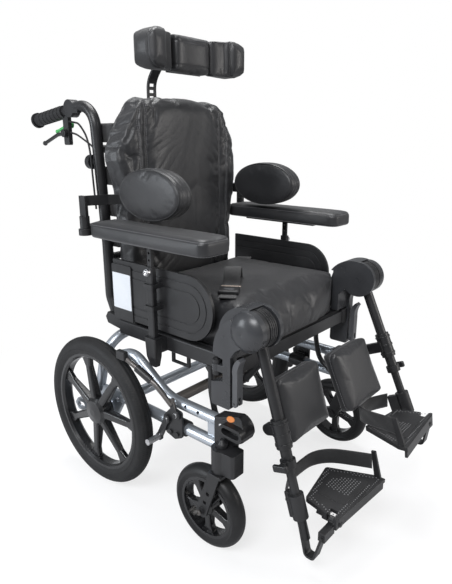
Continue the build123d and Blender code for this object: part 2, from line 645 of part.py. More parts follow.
def armrest_socket():
    """Tapered socket bolted to the rail, with the hollow column that guides the armrest post."""
    top = Pos(POST_X, POST_Y, SOCKET_TOP_Z) * RectangleRounded(SOCKET_W, SOCKET_D, 5)
    middle = Pos(POST_X, POST_Y, SOCKET_BOTTOM_Z + 26) * RectangleRounded(SOCKET_W - 2, SOCKET_D - 6, 5)
    bottom = Pos(POST_X - 2, POST_Y, SOCKET_BOTTOM_Z) * RectangleRounded(SOCKET_W - 11, SOCKET_D - 16, 4)
    socket = loft([bottom, middle, top], ruled=True)
    column = Pos(POST_X, POST_Y, SOCKET_TOP_Z - 1) * extrude(
        RectangleRounded(COLUMN_W, COLUMN_D, 4), COLUMN_TOP_Z - SOCKET_TOP_Z + 1)
    arm = block(RAIL_X, POST_X - 8, POST_Y - 18, POST_Y + 18, RAIL_Z0 + 2, RAIL_Z1 - 2)
    whole = socket + column + arm
    cavity = Pos(POST_X, POST_Y, SOCKET_TOP_Z - 20) * extrude(
        RectangleRounded(COLUMN_W - 2 * COLUMN_WALL, COLUMN_D - 2 * COLUMN_WALL, 2),
        COLUMN_TOP_Z - SOCKET_TOP_Z + 21)
    whole -= cavity
    screw = across(POST_X + COLUMN_W / 2 - 1, POST_X + COLUMN_W / 2 + 7, POST_Y, COLUMN_TOP_Z - 12, 8)
    return whole + screw


def swing_ears():
    """Two ears and a pin on the rail's outer side, which the legrest hanger swings on."""
    ears = None
    for sign in (-1, 1):
        z0 = KNUCKLE_Z + sign * (KNUCKLE_H / 2 + SLIDE)
        z1 = z0 + sign * EAR_T
        ear = block(RAIL_X + 9, SWING_X, SWING_Y - 10, SWING_Y + 10, min(z0, z1), max(z0, z1))
        ear += upright(SWING_X, SWING_Y, min(z0, z1), max(z0, z1), 10)
        ears = ear if ears is None else ears + ear
    reach = KNUCKLE_H / 2 + EAR_T
    return ears + upright(SWING_X, SWING_Y, KNUCKLE_Z - reach - 3, KNUCKLE_Z + reach + 3, SWING_PIN_R)


def back_hinge():
    """Plate behind the rail and a pin through the foot of the cane."""
    x0 = CANE_X + 18
    plate = plate_yz(x0, x0 + 8, [
        (SEAT_REAR_Y - 30, RAIL_Z0 + 4), (BACK_PIVOT_Y + 8, BACK_PIVOT_Z - 16),
        (BACK_PIVOT_Y + 16, BACK_PIVOT_Z), (BACK_PIVOT_Y + 6, BACK_PIVOT_Z + 15),
        (SEAT_REAR_Y - 30, RAIL_Z1 - 2),
    ])
    return plate + across(CANE_X - 18, x0 + 4, BACK_PIVOT_Y, BACK_PIVOT_Z, BACK_PIN_R)


def seat_half():
    """One rail with what it carries: socket, ears, back hinge, tilt lug and a cable bracket."""
    rail = block(RAIL_X - RAIL_W / 2, RAIL_X + RAIL_W / 2, SEAT_FRONT_Y, SEAT_REAR_Y, RAIL_Z0, RAIL_Z1)
    rail = fillet(rail.edges().filter_by(Axis.Y), 4)
    lug_y0 = SEAT_REAR_Y - 26
    lug = plate_yz(TILT_LUG_X - TILT_LUG_T / 2, TILT_LUG_X + TILT_LUG_T / 2, [
        (lug_y0, RAIL_Z0 + 4), (HOOP_TOP_Y - 4, HOOP_TOP_Z - TILT_LUG_R + 2),
        (HOOP_TOP_Y + 4, HOOP_TOP_Z + TILT_LUG_R - 2), (lug_y0 + 10, RAIL_Z1 - 6),
    ])
    lug += across(TILT_LUG_X - TILT_LUG_T / 2, TILT_LUG_X + TILT_LUG_T / 2, HOOP_TOP_Y, HOOP_TOP_Z,
                  TILT_LUG_R)
    bracket_x = RAIL_X - RAIL_W / 2
    bracket = block(bracket_x, bracket_x + 6, AXLE_Y - 268, AXLE_Y - 208, RAIL_Z0 - 34, RAIL_Z0 + 1)
    bracket -= block(bracket_x - 1, bracket_x + 7, AXLE_Y - 260, AXLE_Y - 216, RAIL_Z0 - 28, RAIL_Z0 - 6)
    half = rail + lug + bracket + armrest_socket() + swing_ears() + back_hinge()
    return half


def seat_frame():
    """Rails, cross members, seat pan and the slotted lugs for the tilt spring."""
    half = seat_half()
    frame = half + mirror(half, about=Plane.YZ)
    inner = RAIL_X - RAIL_W / 2 + 1
    frame += block(-inner, inner, SEAT_FRONT_Y + 2, SEAT_FRONT_Y + 24, RAIL_Z0 + 2, RAIL_Z1 - 4)
    frame += block(-inner, inner, SEAT_REAR_Y - 28, SEAT_REAR_Y - 4, RAIL_Z0 + 4, RAIL_Z1 - 4)
    frame += block(-inner, inner, SEAT_FRONT_Y + 10, SEAT_REAR_Y - 10, RAIL_Z1 - 6, RAIL_Z1)
    reach = SPRING_PIN_R + SPRING_SLACK
    for side in SIDES.values():
        x0 = side * 9
        x1 = side * 14
        lug = plate_yz(min(x0, x1), max(x0, x1), [
            (SEAT_FRONT_Y + 20, RAIL_Z0 + 6), (SPRING_TOP_Y - 16, SPRING_TOP_Z - 16),
            (SPRING_TOP_Y + 20, SPRING_TOP_Z - 16), (SPRING_TOP_Y + 20, RAIL_Z1 - 4),
            (SEAT_FRONT_Y + 20, RAIL_Z1 - 4),
        ])
        frame += lug
        frame -= across(x0 - side, x1 + side, SPRING_TOP_Y, SPRING_TOP_Z, reach)
    for side in SIDES.values():
        bore = side * TILT_LUG_X
        frame -= across(bore - TILT_LUG_T, bore + TILT_LUG_T, HOOP_TOP_Y, HOOP_TOP_Z, FRAME_TUBE_R + RUN)
    return frame


def armrest_post():
    """Sliding post with its row of height holes and the plate under the pad."""
    width = COLUMN_W - 2 * COLUMN_WALL - 2 * SLIDE
    depth = COLUMN_D - 2 * COLUMN_WALL - 2 * SLIDE
    foot_z = SOCKET_TOP_Z + 50
    post = Pos(POST_X, POST_Y, foot_z) * extrude(RectangleRounded(width, depth, 2), ARM_PAD_Z - 5 - foot_z)
    for number in range(9):
        post -= across(POST_X - width, POST_X + width, POST_Y, foot_z + 16 + number * 17, 3)
    plate = soft_block(POST_X - 30, POST_X + 12, ARM_PAD_REAR_Y - 300, ARM_PAD_REAR_Y - 60,
                       ARM_PAD_Z - 6, ARM_PAD_Z - SEAT, 1.5)
    return post + plate


def armrest_pad():
    """Flat-bottomed pad with round corners in plan, a rolled edge and a low crown."""
    half_l = ARM_PAD_L / 2
    centre_y = ARM_PAD_REAR_Y - half_l
    body = Pos(ARM_PAD_X, centre_y, ARM_PAD_Z) * extrude(
        RectangleRounded(ARM_PAD_W, ARM_PAD_L, 22), ARM_PAD_T)
    return fillet(body.faces().sort_by(Axis.Z)[-1].edges(), 11)


def racetrack(height, front_y, rear_y, z, x0, x1):
    """A plate in the YZ plane with a round front end and a square rear end."""
    radius = height / 2
    plane = Plane(origin=(x0, 0, 0), x_dir=(0, 1, 0), z_dir=(1, 0, 0))
    outline = Wire([
        Line((rear_y, z - radius), (front_y + radius, z - radius)),
        ThreePointArc((front_y + radius, z - radius), (front_y, z), (front_y + radius, z + radius)),
        Line((front_y + radius, z + radius), (rear_y, z + radius)),
        Line((rear_y, z + radius), (rear_y, z - radius)),
    ])
    return extrude(plane * make_face(outline), amount=x1 - x0)


CARD_Z0 = 458.0
CARD_Z1 = 602.0
CARD_W = 72.0
CARD_T = 3.0
LOOP_H = 10.0
LOOP_ZS = (525.0, 577.0)


def side_panel(side):
    """Skirt guard: grooved racetrack plate with two loops that clip round the column."""
    inner_x = PANEL_X - PANEL_T / 2
    outer_x = PANEL_X + PANEL_T / 2
    middle_z = (PANEL_Z0 + PANEL_Z1) / 2
    height = PANEL_Z1 - PANEL_Z0
    panel = racetrack(height, PANEL_FRONT_Y, PANEL_REAR_Y, middle_z, inner_x, outer_x)
    for inset in (16, 36):
        for face_x in (inner_x, outer_x):
            groove = racetrack(height - 2 * inset, PANEL_FRONT_Y + inset, PANEL_REAR_Y - 8, middle_z,
                               face_x - 1.5, face_x + 1.5)
            groove -= racetrack(height - 2 * inset - 8, PANEL_FRONT_Y + inset + 4, PANEL_REAR_Y - 4,
                                middle_z, face_x - 2, face_x + 2)
            panel -= groove
    wall = 4
    loop_w = COLUMN_W + 2 * SLIDE
    loop_d = COLUMN_D + 2 * SLIDE
    for z in LOOP_ZS:
        x1 = POST_X + loop_w / 2 + wall
        loop = block(outer_x - 1, x1, POST_Y - loop_d / 2 - wall, POST_Y + loop_d / 2 + wall,
                     z - LOOP_H / 2, z + LOOP_H / 2)
        loop = fillet(loop.edges().filter_by(Axis.Z).group_by(Axis.X)[-1], 4)
        loop -= block(POST_X - loop_w / 2, POST_X + loop_w / 2, POST_Y - loop_d / 2,
                      POST_Y + loop_d / 2, z - LOOP_H, z + LOOP_H)
        panel += loop
    if side < 0:
        card = block(outer_x - 1, outer_x + CARD_T, PANEL_REAR_Y - CARD_W, PANEL_REAR_Y + 3, CARD_Z0,
                     CARD_Z1)
        panel += fillet(card.edges().filter_by(Axis.X), 5)
    return panel


def prism_x(outline_edges, x0, x1):
    plane = Plane(origin=(x0, 0, 0), x_dir=(0, 1, 0), z_dir=(1, 0, 0))
    return extrude(plane * make_face(Wire(outline_edges)), amount=x1 - x0)


def prism_z(outline_edges, z0, z1):
    return extrude(Pos(0, 0, z0) * make_face(Wire(outline_edges)), amount=z1 - z0)


def prism_y(outline_edges, y0, y1):
    """A shape drawn in the XZ plane and run along Y."""
    plane = Plane(origin=(0, y0, 0), x_dir=(1, 0, 0), z_dir=(0, -1, 0))
    return extrude(plane * make_face(Wire(outline_edges)), amount=y0 - y1)


def seat_cushion():
    """Crowned cushion: round front corners, drawn-in sides and a waterfall front edge."""
    w = CUSHION_HALF_W
    z0 = RAIL_Z1 + SEAT
    z1 = CUSHION_TOP_Z
    y0 = CUSHION_FRONT_Y
    y1 = CUSHION_REAR_Y
    plan = prism_z([
        ThreePointArc((-w + 70, y0 + 12), (0, y0, 0), (w - 70, y0 + 12)),
        ThreePointArc((w - 70, y0 + 12), (w - 18, y0 + 36), (w, y0 + 95)),
        ThreePointArc((w, y0 + 95), (w - 4, (y0 + y1) / 2), (w, y1 - 12)),
        ThreePointArc((w, y1 - 12), (w - 4, y1 - 4), (w - 12, y1)),
        Line((w - 12, y1), (-w + 12, y1)),
        ThreePointArc((-w + 12, y1), (-w + 4, y1 - 4), (-w, y1 - 12)),
        ThreePointArc((-w, y1 - 12), (-w + 4, (y0 + y1) / 2), (-w, y0 + 95)),
        ThreePointArc((-w, y0 + 95), (-w + 18, y0 + 36), (-w + 70, y0 + 12)),
    ], z0 - 10, z1 + 10)
    front = prism_y([
        Line((-w + 6, z0), (w - 6, z0)),
        ThreePointArc((w - 6, z0), (w, (z0 + z1) / 2 - 4), (w - 10, z1 - 18)),
        ThreePointArc((w - 10, z1 - 18), (w - 16, z1 - 11), (w - 28, z1 - 8)),
        ThreePointArc((w - 28, z1 - 8), (0, z1), (-w + 28, z1 - 8)),
        ThreePointArc((-w + 28, z1 - 8), (-w + 16, z1 - 11), (-w + 10, z1 - 18)),
        ThreePointArc((-w + 10, z1 - 18), (-w, (z0 + z1) / 2 - 4), (-w + 6, z0)),
    ], y0 - 10, y1 + 10)
    profile = prism_x([
        Line((y0 + 4, z0), (y1 - 4, z0)),
        ThreePointArc((y1 - 4, z0), (y1, (z0 + z1) / 2), (y1 - 8, z1 - 14)),
        ThreePointArc((y1 - 8, z1 - 14), (y1 - 14, z1 - 8), (y1 - 24, z1 - 6)),
        ThreePointArc((y1 - 24, z1 - 6), ((y0 + y1) / 2, z1 - 1), (y0 + 60, z1 - 4)),
        ThreePointArc((y0 + 60, z1 - 4), (y0 + 20, z1 - 16), (y0 + 2, z1 - 52)),
        ThreePointArc((y0 + 2, z1 - 52), (y0, (z0 + z1) / 2 - 20), (y0 + 4, z0)),
    ], -w - 10, w + 10)
    return plan & front & profile

def hip_belt():
    """Webbing laid across the cushion, humped where it meets the clasp, and the clasp itself."""
    top = CUSHION_TOP_Z + SEAT
    a = Vector(185, AXLE_Y - 105, top - 4.4)
    crown = Vector(90, AXLE_Y - 169.2, top + 0.2)
    b = Vector(-40, AXLE_Y - 257, top + 0.2)
    way = (b - crown).normalized()
    hump = b + way * 42 + Vector(0, 0, 34)
    drop = b + way * 84
    end = b + way * 118
    side_way = way.cross(Vector(0, 0, 1))
    path = FilletPolyline(a, crown, b, hump, drop, end, radius=[200, 16, 16, 10])
    start = Plane(origin=path @ 0, x_dir=side_way, z_dir=path % 0)
    webbing = sweep(start * Rectangle(BELT_W, BELT_T), path=path)
    clasp_plane = Plane(origin=end + way * 16 + Vector(0, 0, 6), x_dir=way, z_dir=(0, 0, 1))
    clasp = Box(44, BELT_W + 8, 11)
    clasp = clasp_plane * fillet(clasp.edges(), 3)
    tail_plane = Plane(origin=end + way * 50 + Vector(0, 0, 1), x_dir=way, z_dir=(0, 0, 1))
    tail = tail_plane * Box(24.5, BELT_W, BELT_T)
    return webbing, clasp, tail


# ---------------------------------------------------------------------------
# back
# ---------------------------------------------------------------------------

CANE_WAIST_Y = AXLE_Y + 43.0
CANE_TOP_Y = AXLE_Y + 65.0
CANE_TOP_Z = 984.0
CANE_END_Y = AXLE_Y + 134.0
TRUNK_PIVOT_X = 296.0
TRUNK_PIVOT_Y = AXLE_Y + 4.0
TRUNK_BAR_Z = 694.0
HANDLE_DISC_R = 22.0
HOLDER_Y = AXLE_Y + 80.0
HOLDER_Z0 = 880.0
HOLDER_Z1 = 960.0
STEM_W = 30.0
STEM_T = 6.0


def cane_y(z):
    """Middle of the cane's upper run at a height."""
    if z < 640:
        return CANE_WAIST_Y
    return CANE_WAIST_Y + (CANE_TOP_Y - CANE_WAIST_Y) * (z - 640) / (CANE_TOP_Z - 640)


def back_half():
    """One bent cane with its foot boss, its handle joint, a knob and the trunk pad's bar."""
    cane = pipe([
        (CANE_X, BACK_PIVOT_Y, BACK_PIVOT_Z),
        (CANE_X, CANE_WAIST_Y, BACK_PIVOT_Z + 50),
        (CANE_X, CANE_WAIST_Y, 640),
        (CANE_X, CANE_TOP_Y, CANE_TOP_Z),
        (CANE_X, CANE_END_Y, CANE_TOP_Z - 5),
    ], CANE_R, [40, 200, 55], CANE_R - TUBE_WALL)
    foot = across(CANE_X - CANE_R + 0.5, CANE_X + CANE_R - 0.5, BACK_PIVOT_Y, BACK_PIVOT_Z, 18)
    half = cane + foot
    half -= across(CANE_X - CANE_R - 1, CANE_X + CANE_R + 1, BACK_PIVOT_Y, BACK_PIVOT_Z, BACK_PIN_R + RUN)
    tongue_x = CANE_X + 0.3
    half += block(tongue_x, tongue_x + 12, CANE_END_Y - 16, HANDLE_PIVOT_Y, HANDLE_PIVOT_Z - 12,
                  HANDLE_PIVOT_Z + 12)
    half += across(tongue_x, tongue_x + 12, HANDLE_PIVOT_Y, HANDLE_PIVOT_Z, HANDLE_DISC_R)
    half += across(tongue_x - 14, tongue_x, HANDLE_PIVOT_Y, HANDLE_PIVOT_Z, 5)
    knob_z = 844.0
    knob_y = cane_y(knob_z)
    half += bar((CANE_X, knob_y, knob_z), (CANE_X, knob_y + 24, knob_z), 8)
    half += bar((CANE_X, knob_y + 22, knob_z), (CANE_X, knob_y + 38, knob_z), 18)
    start = Vector(CANE_X, cane_y(TRUNK_BAR_Z), TRUNK_BAR_Z)
    finish = Vector(TRUNK_PIVOT_X, TRUNK_PIVOT_Y, TRUNK_BAR_Z)
    flat = Plane(origin=start, x_dir=(0, 0, 1), z_dir=finish - start) * Rectangle(6, 24)
    half += extrude(flat, amount=(finish - start).length)
    half += upright(TRUNK_PIVOT_X, TRUNK_PIVOT_Y, TRUNK_BAR_Z - 3, TRUNK_BAR_Z + 3, 12)
    half += upright(TRUNK_PIVOT_X, TRUNK_PIVOT_Y, TRUNK_BAR_Z, TRUNK_BAR_Z + 24, 5)
    half += upright(TRUNK_PIVOT_X, TRUNK_PIVOT_Y, TRUNK_BAR_Z - 18, TRUNK_BAR_Z - 3, 16)
    return half


def back_frame():
    """Two canes, their cross bars and the sleeve that holds the headrest stem."""
    half = back_half()
    frame = half + mirror(half, about=Plane.YZ)
    for z in CROSS_BAR_Z:
        frame += across(-CANE_X + CANE_R - 4, CANE_X - CANE_R + 4, cane_y(z), z, 10)
    sleeve = block(-24, 24, HOLDER_Y - 13, HOLDER_Y + 12, HOLDER_Z0, HOLDER_Z1)
    sleeve = fillet(sleeve.edges().filter_by(Axis.Z), 5)
    sleeve += block(-16, 16, cane_y(CROSS_BAR_Z[1]), HOLDER_Y - 6, HOLDER_Z0 - 14, HOLDER_Z0 + 20)
    half_w = STEM_W / 2 + SLIDE
    half_t = STEM_T / 2 + SLIDE
    frame += sleeve
    frame -= block(-half_w, half_w, HOLDER_Y - half_t, HOLDER_Y + half_t, HOLDER_Z0 - 20, HOLDER_Z1 + 1)
    frame += bar((0, HOLDER_Y + 10, HOLDER_Z1 - 16), (0, HOLDER_Y + 34, HOLDER_Z1 - 16), 9)
    frame += bar((0, HOLDER_Y + 28, HOLDER_Z1 - 16), (0, HOLDER_Y + 40, HOLDER_Z1 - 16), 15)
    return frame


BAND_ZS = (650.0, 730.0, 810.0, 915.0)
BAND_H = 46.0
BAND_T = 3.0
BAND_END = 9.0              # how far a band's end runs past the cane's middle


def back_straps():
    """Tension bands behind the cushion, each turned back flat along the canes' inner sides."""
    bands = []
    x1 = CANE_X - CANE_R - SEAT
    y0 = BACK_REAR_Y + SEAT
    for z in BAND_ZS:
        z0 = z - BAND_H / 2
        z1 = z + BAND_H / 2
        band = block(-x1, x1, y0, y0 + BAND_T, z0, z1)
        band += block(x1 - BAND_T, x1, y0, cane_y(z) + BAND_END, z0, z1)
        band += block(-x1, BAND_T - x1, y0, cane_y(z) + BAND_END, z0, z1)
        bands.append(band)
    return bands


def back_cushion():
    """Tall cushion, widest at the shoulders, with two sewn channels and rolled edges."""
    low = BACK_LOW_HALF_W
    wide = BACK_WIDE_HALF_W
    top = BACK_TOP_HALF_W
    z0 = BACK_BOTTOM_Z
    z1 = BACK_TOP_Z
    y0 = BACK_FRONT_Y
    y1 = BACK_REAR_Y
    right = [
        ThreePointArc((low - 26, z0), (low - 12, z0 + 4), (low - 6, z0 + 18)),
        Line((low - 6, z0 + 18), (low + 2, 700)),
        ThreePointArc((low + 2, 700), (low + 10, 775), (wide - 3, 838)),
        ThreePointArc((wide - 3, 838), (wide, 858), (wide - 6, 880)),
        ThreePointArc((wide - 6, 880), (wide - 29, 928), (top, z1 - 35)),
        ThreePointArc((top, z1 - 35), (top - 20, z1 - 12), (top - 54, z1 - 3)),
    ]
    outline = [Line((-low + 26, z0), (low - 26, z0))] + right
    outline.append(ThreePointArc((top - 54, z1 - 3), (0, z1), (-top + 54, z1 - 3)))
    outline += [edge.mirror(Plane.YZ) for edge in reversed(right)]
    front = prism_y(outline, y0 - 10, y1 + 10)
    depth = y1 - y0
    profile = prism_x([
        ThreePointArc((y0 + 22, z0 + 2), (y0 + 4, z0 + 14), (y0 + 1, z0 + 40)),
        ThreePointArc((y0 + 1, z0 + 40), (y0, (z0 + z1) / 2), (y0 + 3, z1 - 60)),
        ThreePointArc((y0 + 3, z1 - 60), (y0 + 9, z1 - 18), (y0 + 30, z1)),
        Line((y0 + 30, z1), (y1 - 10, z1)),
        ThreePointArc((y1 - 10, z1), (y1 - 3, z1 - 4), (y1, z1 - 14)),
        Line((y1, z1 - 14), (y1, z0 + 12)),
        ThreePointArc((y1, z0 + 12), (y1 - 3, z0 + 5), (y1 - 10, z0 + 2)),
        Line((y1 - 10, z0 + 2), (y0 + 22, z0 + 2)),
    ], -wide - 10, wide + 10)
    plan = prism_z([
        ThreePointArc((-wide, y0 + 26), (-wide + 6, y0 + 10), (-wide + 26, y0 + 4)),
        ThreePointArc((-wide + 26, y0 + 4), (0, y0 + depth * 0.05), (wide - 26, y0 + 4)),
        ThreePointArc((wide - 26, y0 + 4), (wide - 6, y0 + 10), (wide, y0 + 26)),
        Line((wide, y0 + 26), (wide, y1 - 8)),
        ThreePointArc((wide, y1 - 8), (wide - 3, y1 - 3), (wide - 10, y1)),
        Line((wide - 10, y1), (-wide + 10, y1)),
        ThreePointArc((-wide + 10, y1), (-wide + 3, y1 - 3), (-wide, y1 - 8)),
        Line((-wide, y1 - 8), (-wide, y0 + 26)),
    ], z0 - 10, z1 + 10)
    cushion = front & profile & plan
    for x in (-SEAM_X, SEAM_X):
        cushion -= bar((x, y0 - 1, z0 - 10), (x, y0 - 1, z1 + 10), 4.5)
    return cushion


SEAM_X = 135.0

# ---------------------------------------------------------------------------
# headrest
# ---------------------------------------------------------------------------

REST_PIVOT_Y = AXLE_Y - 16.0
REST_PIVOT_Z = 1106.0
REST_PAD_HALF_W = 62.0
REST_Z0 = 1058.0
REST_Z1 = 1148.0
REST_FRONT_Y = AXLE_Y - 90.0
REST_T = 44.0
WING_AXIS_X = 88.0
WING_AXIS_Y = AXLE_Y - 64.0
WING_ROUND_R = 23.0
WING_REACH = 171.0
WING_TIP_X = 140.0          # middle of the oval front end


def headrest_arm():
    """Slotted flat stem, bent forward over the cushion, with a cross pin at its end."""
    arm = ribbon([
        (0, HOLDER_Y, HOLDER_Z0 + 4),
        (0, HOLDER_Y, 1052),
        (0, HOLDER_Y - 46, REST_PIVOT_Z),
        (0, REST_PIVOT_Y + 14, REST_PIVOT_Z),
    ], STEM_W, STEM_T, [60, 30])
    arm += block(-11, 11, REST_PIVOT_Y, REST_PIVOT_Y + 18, REST_PIVOT_Z - 3, REST_PIVOT_Z + 3)
    for number in range(5):
        z = HOLDER_Z1 + 14 + number * 16
        arm -= block(-9, 9, HOLDER_Y - 10, HOLDER_Y + 10, z, z + 8)
    arm += across(-13, 13, REST_PIVOT_Y, REST_PIVOT_Z, 10)
    return arm - across(-14, 14, REST_PIVOT_Y, REST_PIVOT_Z, 5 + RUN)


def headrest_pad():
    """Middle pad on a back plate with the ears of its tilt joint and the wings' pins."""
    y0 = REST_FRONT_Y
    y1 = y0 + REST_T
    w = REST_PAD_HALF_W
    body = prism_z([
        ThreePointArc((-w + 16, y0 + 2), (0, y0 + 6), (w - 16, y0 + 2)),
        ThreePointArc((w - 16, y0 + 2), (w - 4, y0 + 7), (w, y0 + 18)),
        Line((w, y0 + 18), (w, y1)),
        Line((w, y1), (-w, y1)),
        Line((-w, y1), (-w, y0 + 18)),
        ThreePointArc((-w, y0 + 18), (-w + 4, y0 + 7), (-w + 16, y0 + 2)),
    ], REST_Z0, REST_Z1)
    side_view = prism_x([
        ThreePointArc((y0 + 16, REST_Z0 + 2), (y0 + 4, REST_Z0 + 9), (y0 + 1, REST_Z0 + 24)),
        ThreePointArc((y0 + 1, REST_Z0 + 24), (y0, (REST_Z0 + REST_Z1) / 2), (y0 + 1, REST_Z1 - 24)),
        ThreePointArc((y0 + 1, REST_Z1 - 24), (y0 + 4, REST_Z1 - 9), (y0 + 16, REST_Z1 - 2)),
        Line((y0 + 16, REST_Z1 - 2), (y1, REST_Z1 - 2)),
        Line((y1, REST_Z1 - 2), (y1, REST_Z0 + 2)),
        Line((y1, REST_Z0 + 2), (y0 + 16, REST_Z0 + 2)),
    ], -w - 5, w + 5)
    pad = body & side_view
    plate = block(-WING_AXIS_X - 6, WING_AXIS_X + 6, y1 - 1, y1 + 3, REST_PIVOT_Z - 9, REST_PIVOT_Z + 9)
    pad += plate
    for side in SIDES.values():
        x = side * WING_AXIS_X
        pad += block(x - 5, x + 5, WING_AXIS_Y, y1 + 3, REST_PIVOT_Z - 9, REST_PIVOT_Z + 9)
        pad += upright(x, WING_AXIS_Y, REST_PIVOT_Z - 9, REST_PIVOT_Z + 9, 8)
        pad += upright(x, WING_AXIS_Y, REST_PIVOT_Z - 26, REST_PIVOT_Z + 26, 4)
        x0 = side * 13.3
        x1 = side * 19.3
        ear = block(min(x0, x1), max(x0, x1), y1, REST_PIVOT_Y, REST_PIVOT_Z - 10, REST_PIVOT_Z + 10)
        pad += ear + across(x0, x1, REST_PIVOT_Y, REST_PIVOT_Z, 10)
    return pad + across(-20, 20, REST_PIVOT_Y, REST_PIVOT_Z, 5)


def headrest_wing():
    """Thick wing with an oval front end; its round inner end turns on the middle pad's pin."""
    ax = WING_AXIS_X
    ay = WING_AXIS_Y
    r = WING_ROUND_R
    reach = WING_REACH
    tip = WING_TIP_X
    body = prism_z([
        ThreePointArc((ax, ay - r), (ax - r, ay), (ax, ay + r)),
        ThreePointArc((ax, ay + r), (tip - 8, ay + 34), (reach - 14, ay + 22)),
        ThreePointArc((reach - 14, ay + 22), (reach + 1, ay), (reach, ay - 26)),
        ThreePointArc((reach, ay - 26), (reach - 3, ay - 46), (tip + 18, ay - 57)),
        ThreePointArc((tip + 18, ay - 57), (tip, ay - 59), (tip - 20, ay - 51)),
        ThreePointArc((tip - 20, ay - 51), (ax + 23, ay - 34), (ax, ay - r)),
    ], REST_Z0 - 4, REST_Z1 + 4)
    middle = (REST_Z0 + REST_Z1) / 2
    half = (REST_Z1 - REST_Z0) / 2
    low = middle - half
    high = middle + half
    front = prism_y([
        ThreePointArc((ax - r - 2, low + 14), (ax - r + 3, low + 5), (ax - 6, low + 2)),
        ThreePointArc((ax - 6, low + 2), ((ax + tip) / 2, low), (tip - 2, low - 1)),
        ThreePointArc((tip - 2, low - 1), (reach - 8, low + 14), (reach + 2, middle)),
        ThreePointArc((reach + 2, middle), (reach - 8, high - 14), (tip - 2, high + 1)),
        ThreePointArc((tip - 2, high + 1), ((ax + tip) / 2, high), (ax - 6, high - 2)),
        ThreePointArc((ax - 6, high - 2), (ax - r + 3, high - 5), (ax - r - 2, high - 14)),
        Line((ax - r - 2, high - 14), (ax - r - 2, low + 14)),
    ], ay - 80, ay + 50)
    profile = prism_x([
        ThreePointArc((ay - 54, middle - 30), (ay - 62, middle), (ay - 54, middle + 30)),
        ThreePointArc((ay - 54, middle + 30), (ay - 44, high - 2), (ay - 28, high + 2)),
        ThreePointArc((ay - 28, high + 2), (ay + 2, high), (ay + 24, high - 15)),
        ThreePointArc((ay + 24, high - 15), (ay + 38, middle), (ay + 24, low + 15)),
        ThreePointArc((ay + 24, low + 15), (ay + 2, low), (ay - 28, low - 2)),
        ThreePointArc((ay - 28, low - 2), (ay - 44, low + 2), (ay - 54, middle - 30)),
    ], 0, reach + 10)
    wing = body & front & profile
    wing -= upright(ax, ay, REST_PIVOT_Z - 27, REST_PIVOT_Z + 27, 4 + RUN)
    wing -= upright(ax, ay, REST_PIVOT_Z - 10, REST_PIVOT_Z + 10, 9)
    return wing - block(ax - r - 1, ax + 15, ay, ay + r + 14, REST_PIVOT_Z - 10, REST_PIVOT_Z + 10)


# ---------------------------------------------------------------------------
# push handles and their levers
# ---------------------------------------------------------------------------

GRIP_X = CANE_X - 6.0
GRIP_START_Y = HANDLE_PIVOT_Y + 44.0
LEVER_BLOCK_Y0 = HANDLE_PIVOT_Y + 26.0
LEVER_BLOCK_Y1 = HANDLE_PIVOT_Y + 50.0
BRAKE_ROOT_Y = HANDLE_PIVOT_Y + 38.0
BRAKE_ROOT_Z = 915.0
HAND_ROOT_Z = 937.0
LEVER_PIN_R = 3.0


def grip_point(along):
    drop = math.tan(math.radians(GRIP_DROP_DEG))
    return (GRIP_X, HANDLE_PIVOT_Y + along, HANDLE_PIVOT_Z - along * drop)


def push_handle():
    """Joint disc, stub tube, ribbed grip with its end flange, and the lever housing."""
    disc_x1 = CANE_X + 0.3 - RUN
    handle = across(disc_x1 - 11.5, disc_x1, HANDLE_PIVOT_Y, HANDLE_PIVOT_Z, HANDLE_DISC_R)
    handle += bar(grip_point(12), grip_point(50), 12)
    handle -= across(disc_x1, disc_x1 + 30, HANDLE_PIVOT_Y, HANDLE_PIVOT_Z, HANDLE_DISC_R + 3)
    start = GRIP_START_Y - HANDLE_PIVOT_Y
    handle += bar(grip_point(start), grip_point(start + GRIP_LENGTH), GRIP_R)
    for number in range(6):
        at = start + 14 + number * 18
        handle += bar(grip_point(at), grip_point(at + 7), GRIP_R + 1)
    end = start + GRIP_LENGTH
    handle += bar(grip_point(end - 2), grip_point(end + 5), GRIP_R + 4)
    housing = block(GRIP_X - 6, GRIP_X + 5, LEVER_BLOCK_Y0, LEVER_BLOCK_Y1, BRAKE_ROOT_Z - 30,
                    HANDLE_PIVOT_Z - 8)
    housing = fillet(housing.edges().filter_by(Axis.X), 5)
    handle += housing
    handle += across(GRIP_X, GRIP_X + 16, BRAKE_ROOT_Y, BRAKE_ROOT_Z, LEVER_PIN_R)
    handle += across(GRIP_X - 16, GRIP_X, BRAKE_ROOT_Y, HAND_ROOT_Z, LEVER_PIN_R)
    return handle - across(disc_x1 - 30, disc_x1 + 2, HANDLE_PIVOT_Y, HANDLE_PIVOT_Z, 5 + RUN)


def hand_brake_lever():
    """Root eye beside the housing and a long blade below the grip."""
    x0 = GRIP_X + 5.3
    x = x0 + 5
    lever = across(x0, x0 + 10, BRAKE_ROOT_Y, BRAKE_ROOT_Z, 10)
    lever += pipe([
        (x, BRAKE_ROOT_Y + 2, BRAKE_ROOT_Z),
        (x, BRAKE_ROOT_Y + 34, BRAKE_ROOT_Z - 4),
        (x - 6, BRAKE_ROOT_Y + 80, BRAKE_ROOT_Z - 16),
        (x - 6, BRAKE_ROOT_Y + 110, BRAKE_ROOT_Z - 26),
    ], 4.7, [30, 60])
    lever += Pos(x - 6, BRAKE_ROOT_Y + 110, BRAKE_ROOT_Z - 26) * Sphere(6.5)
    return lever - across(x0 - 1, x0 + 11, BRAKE_ROOT_Y, BRAKE_ROOT_Z, LEVER_PIN_R + RUN)


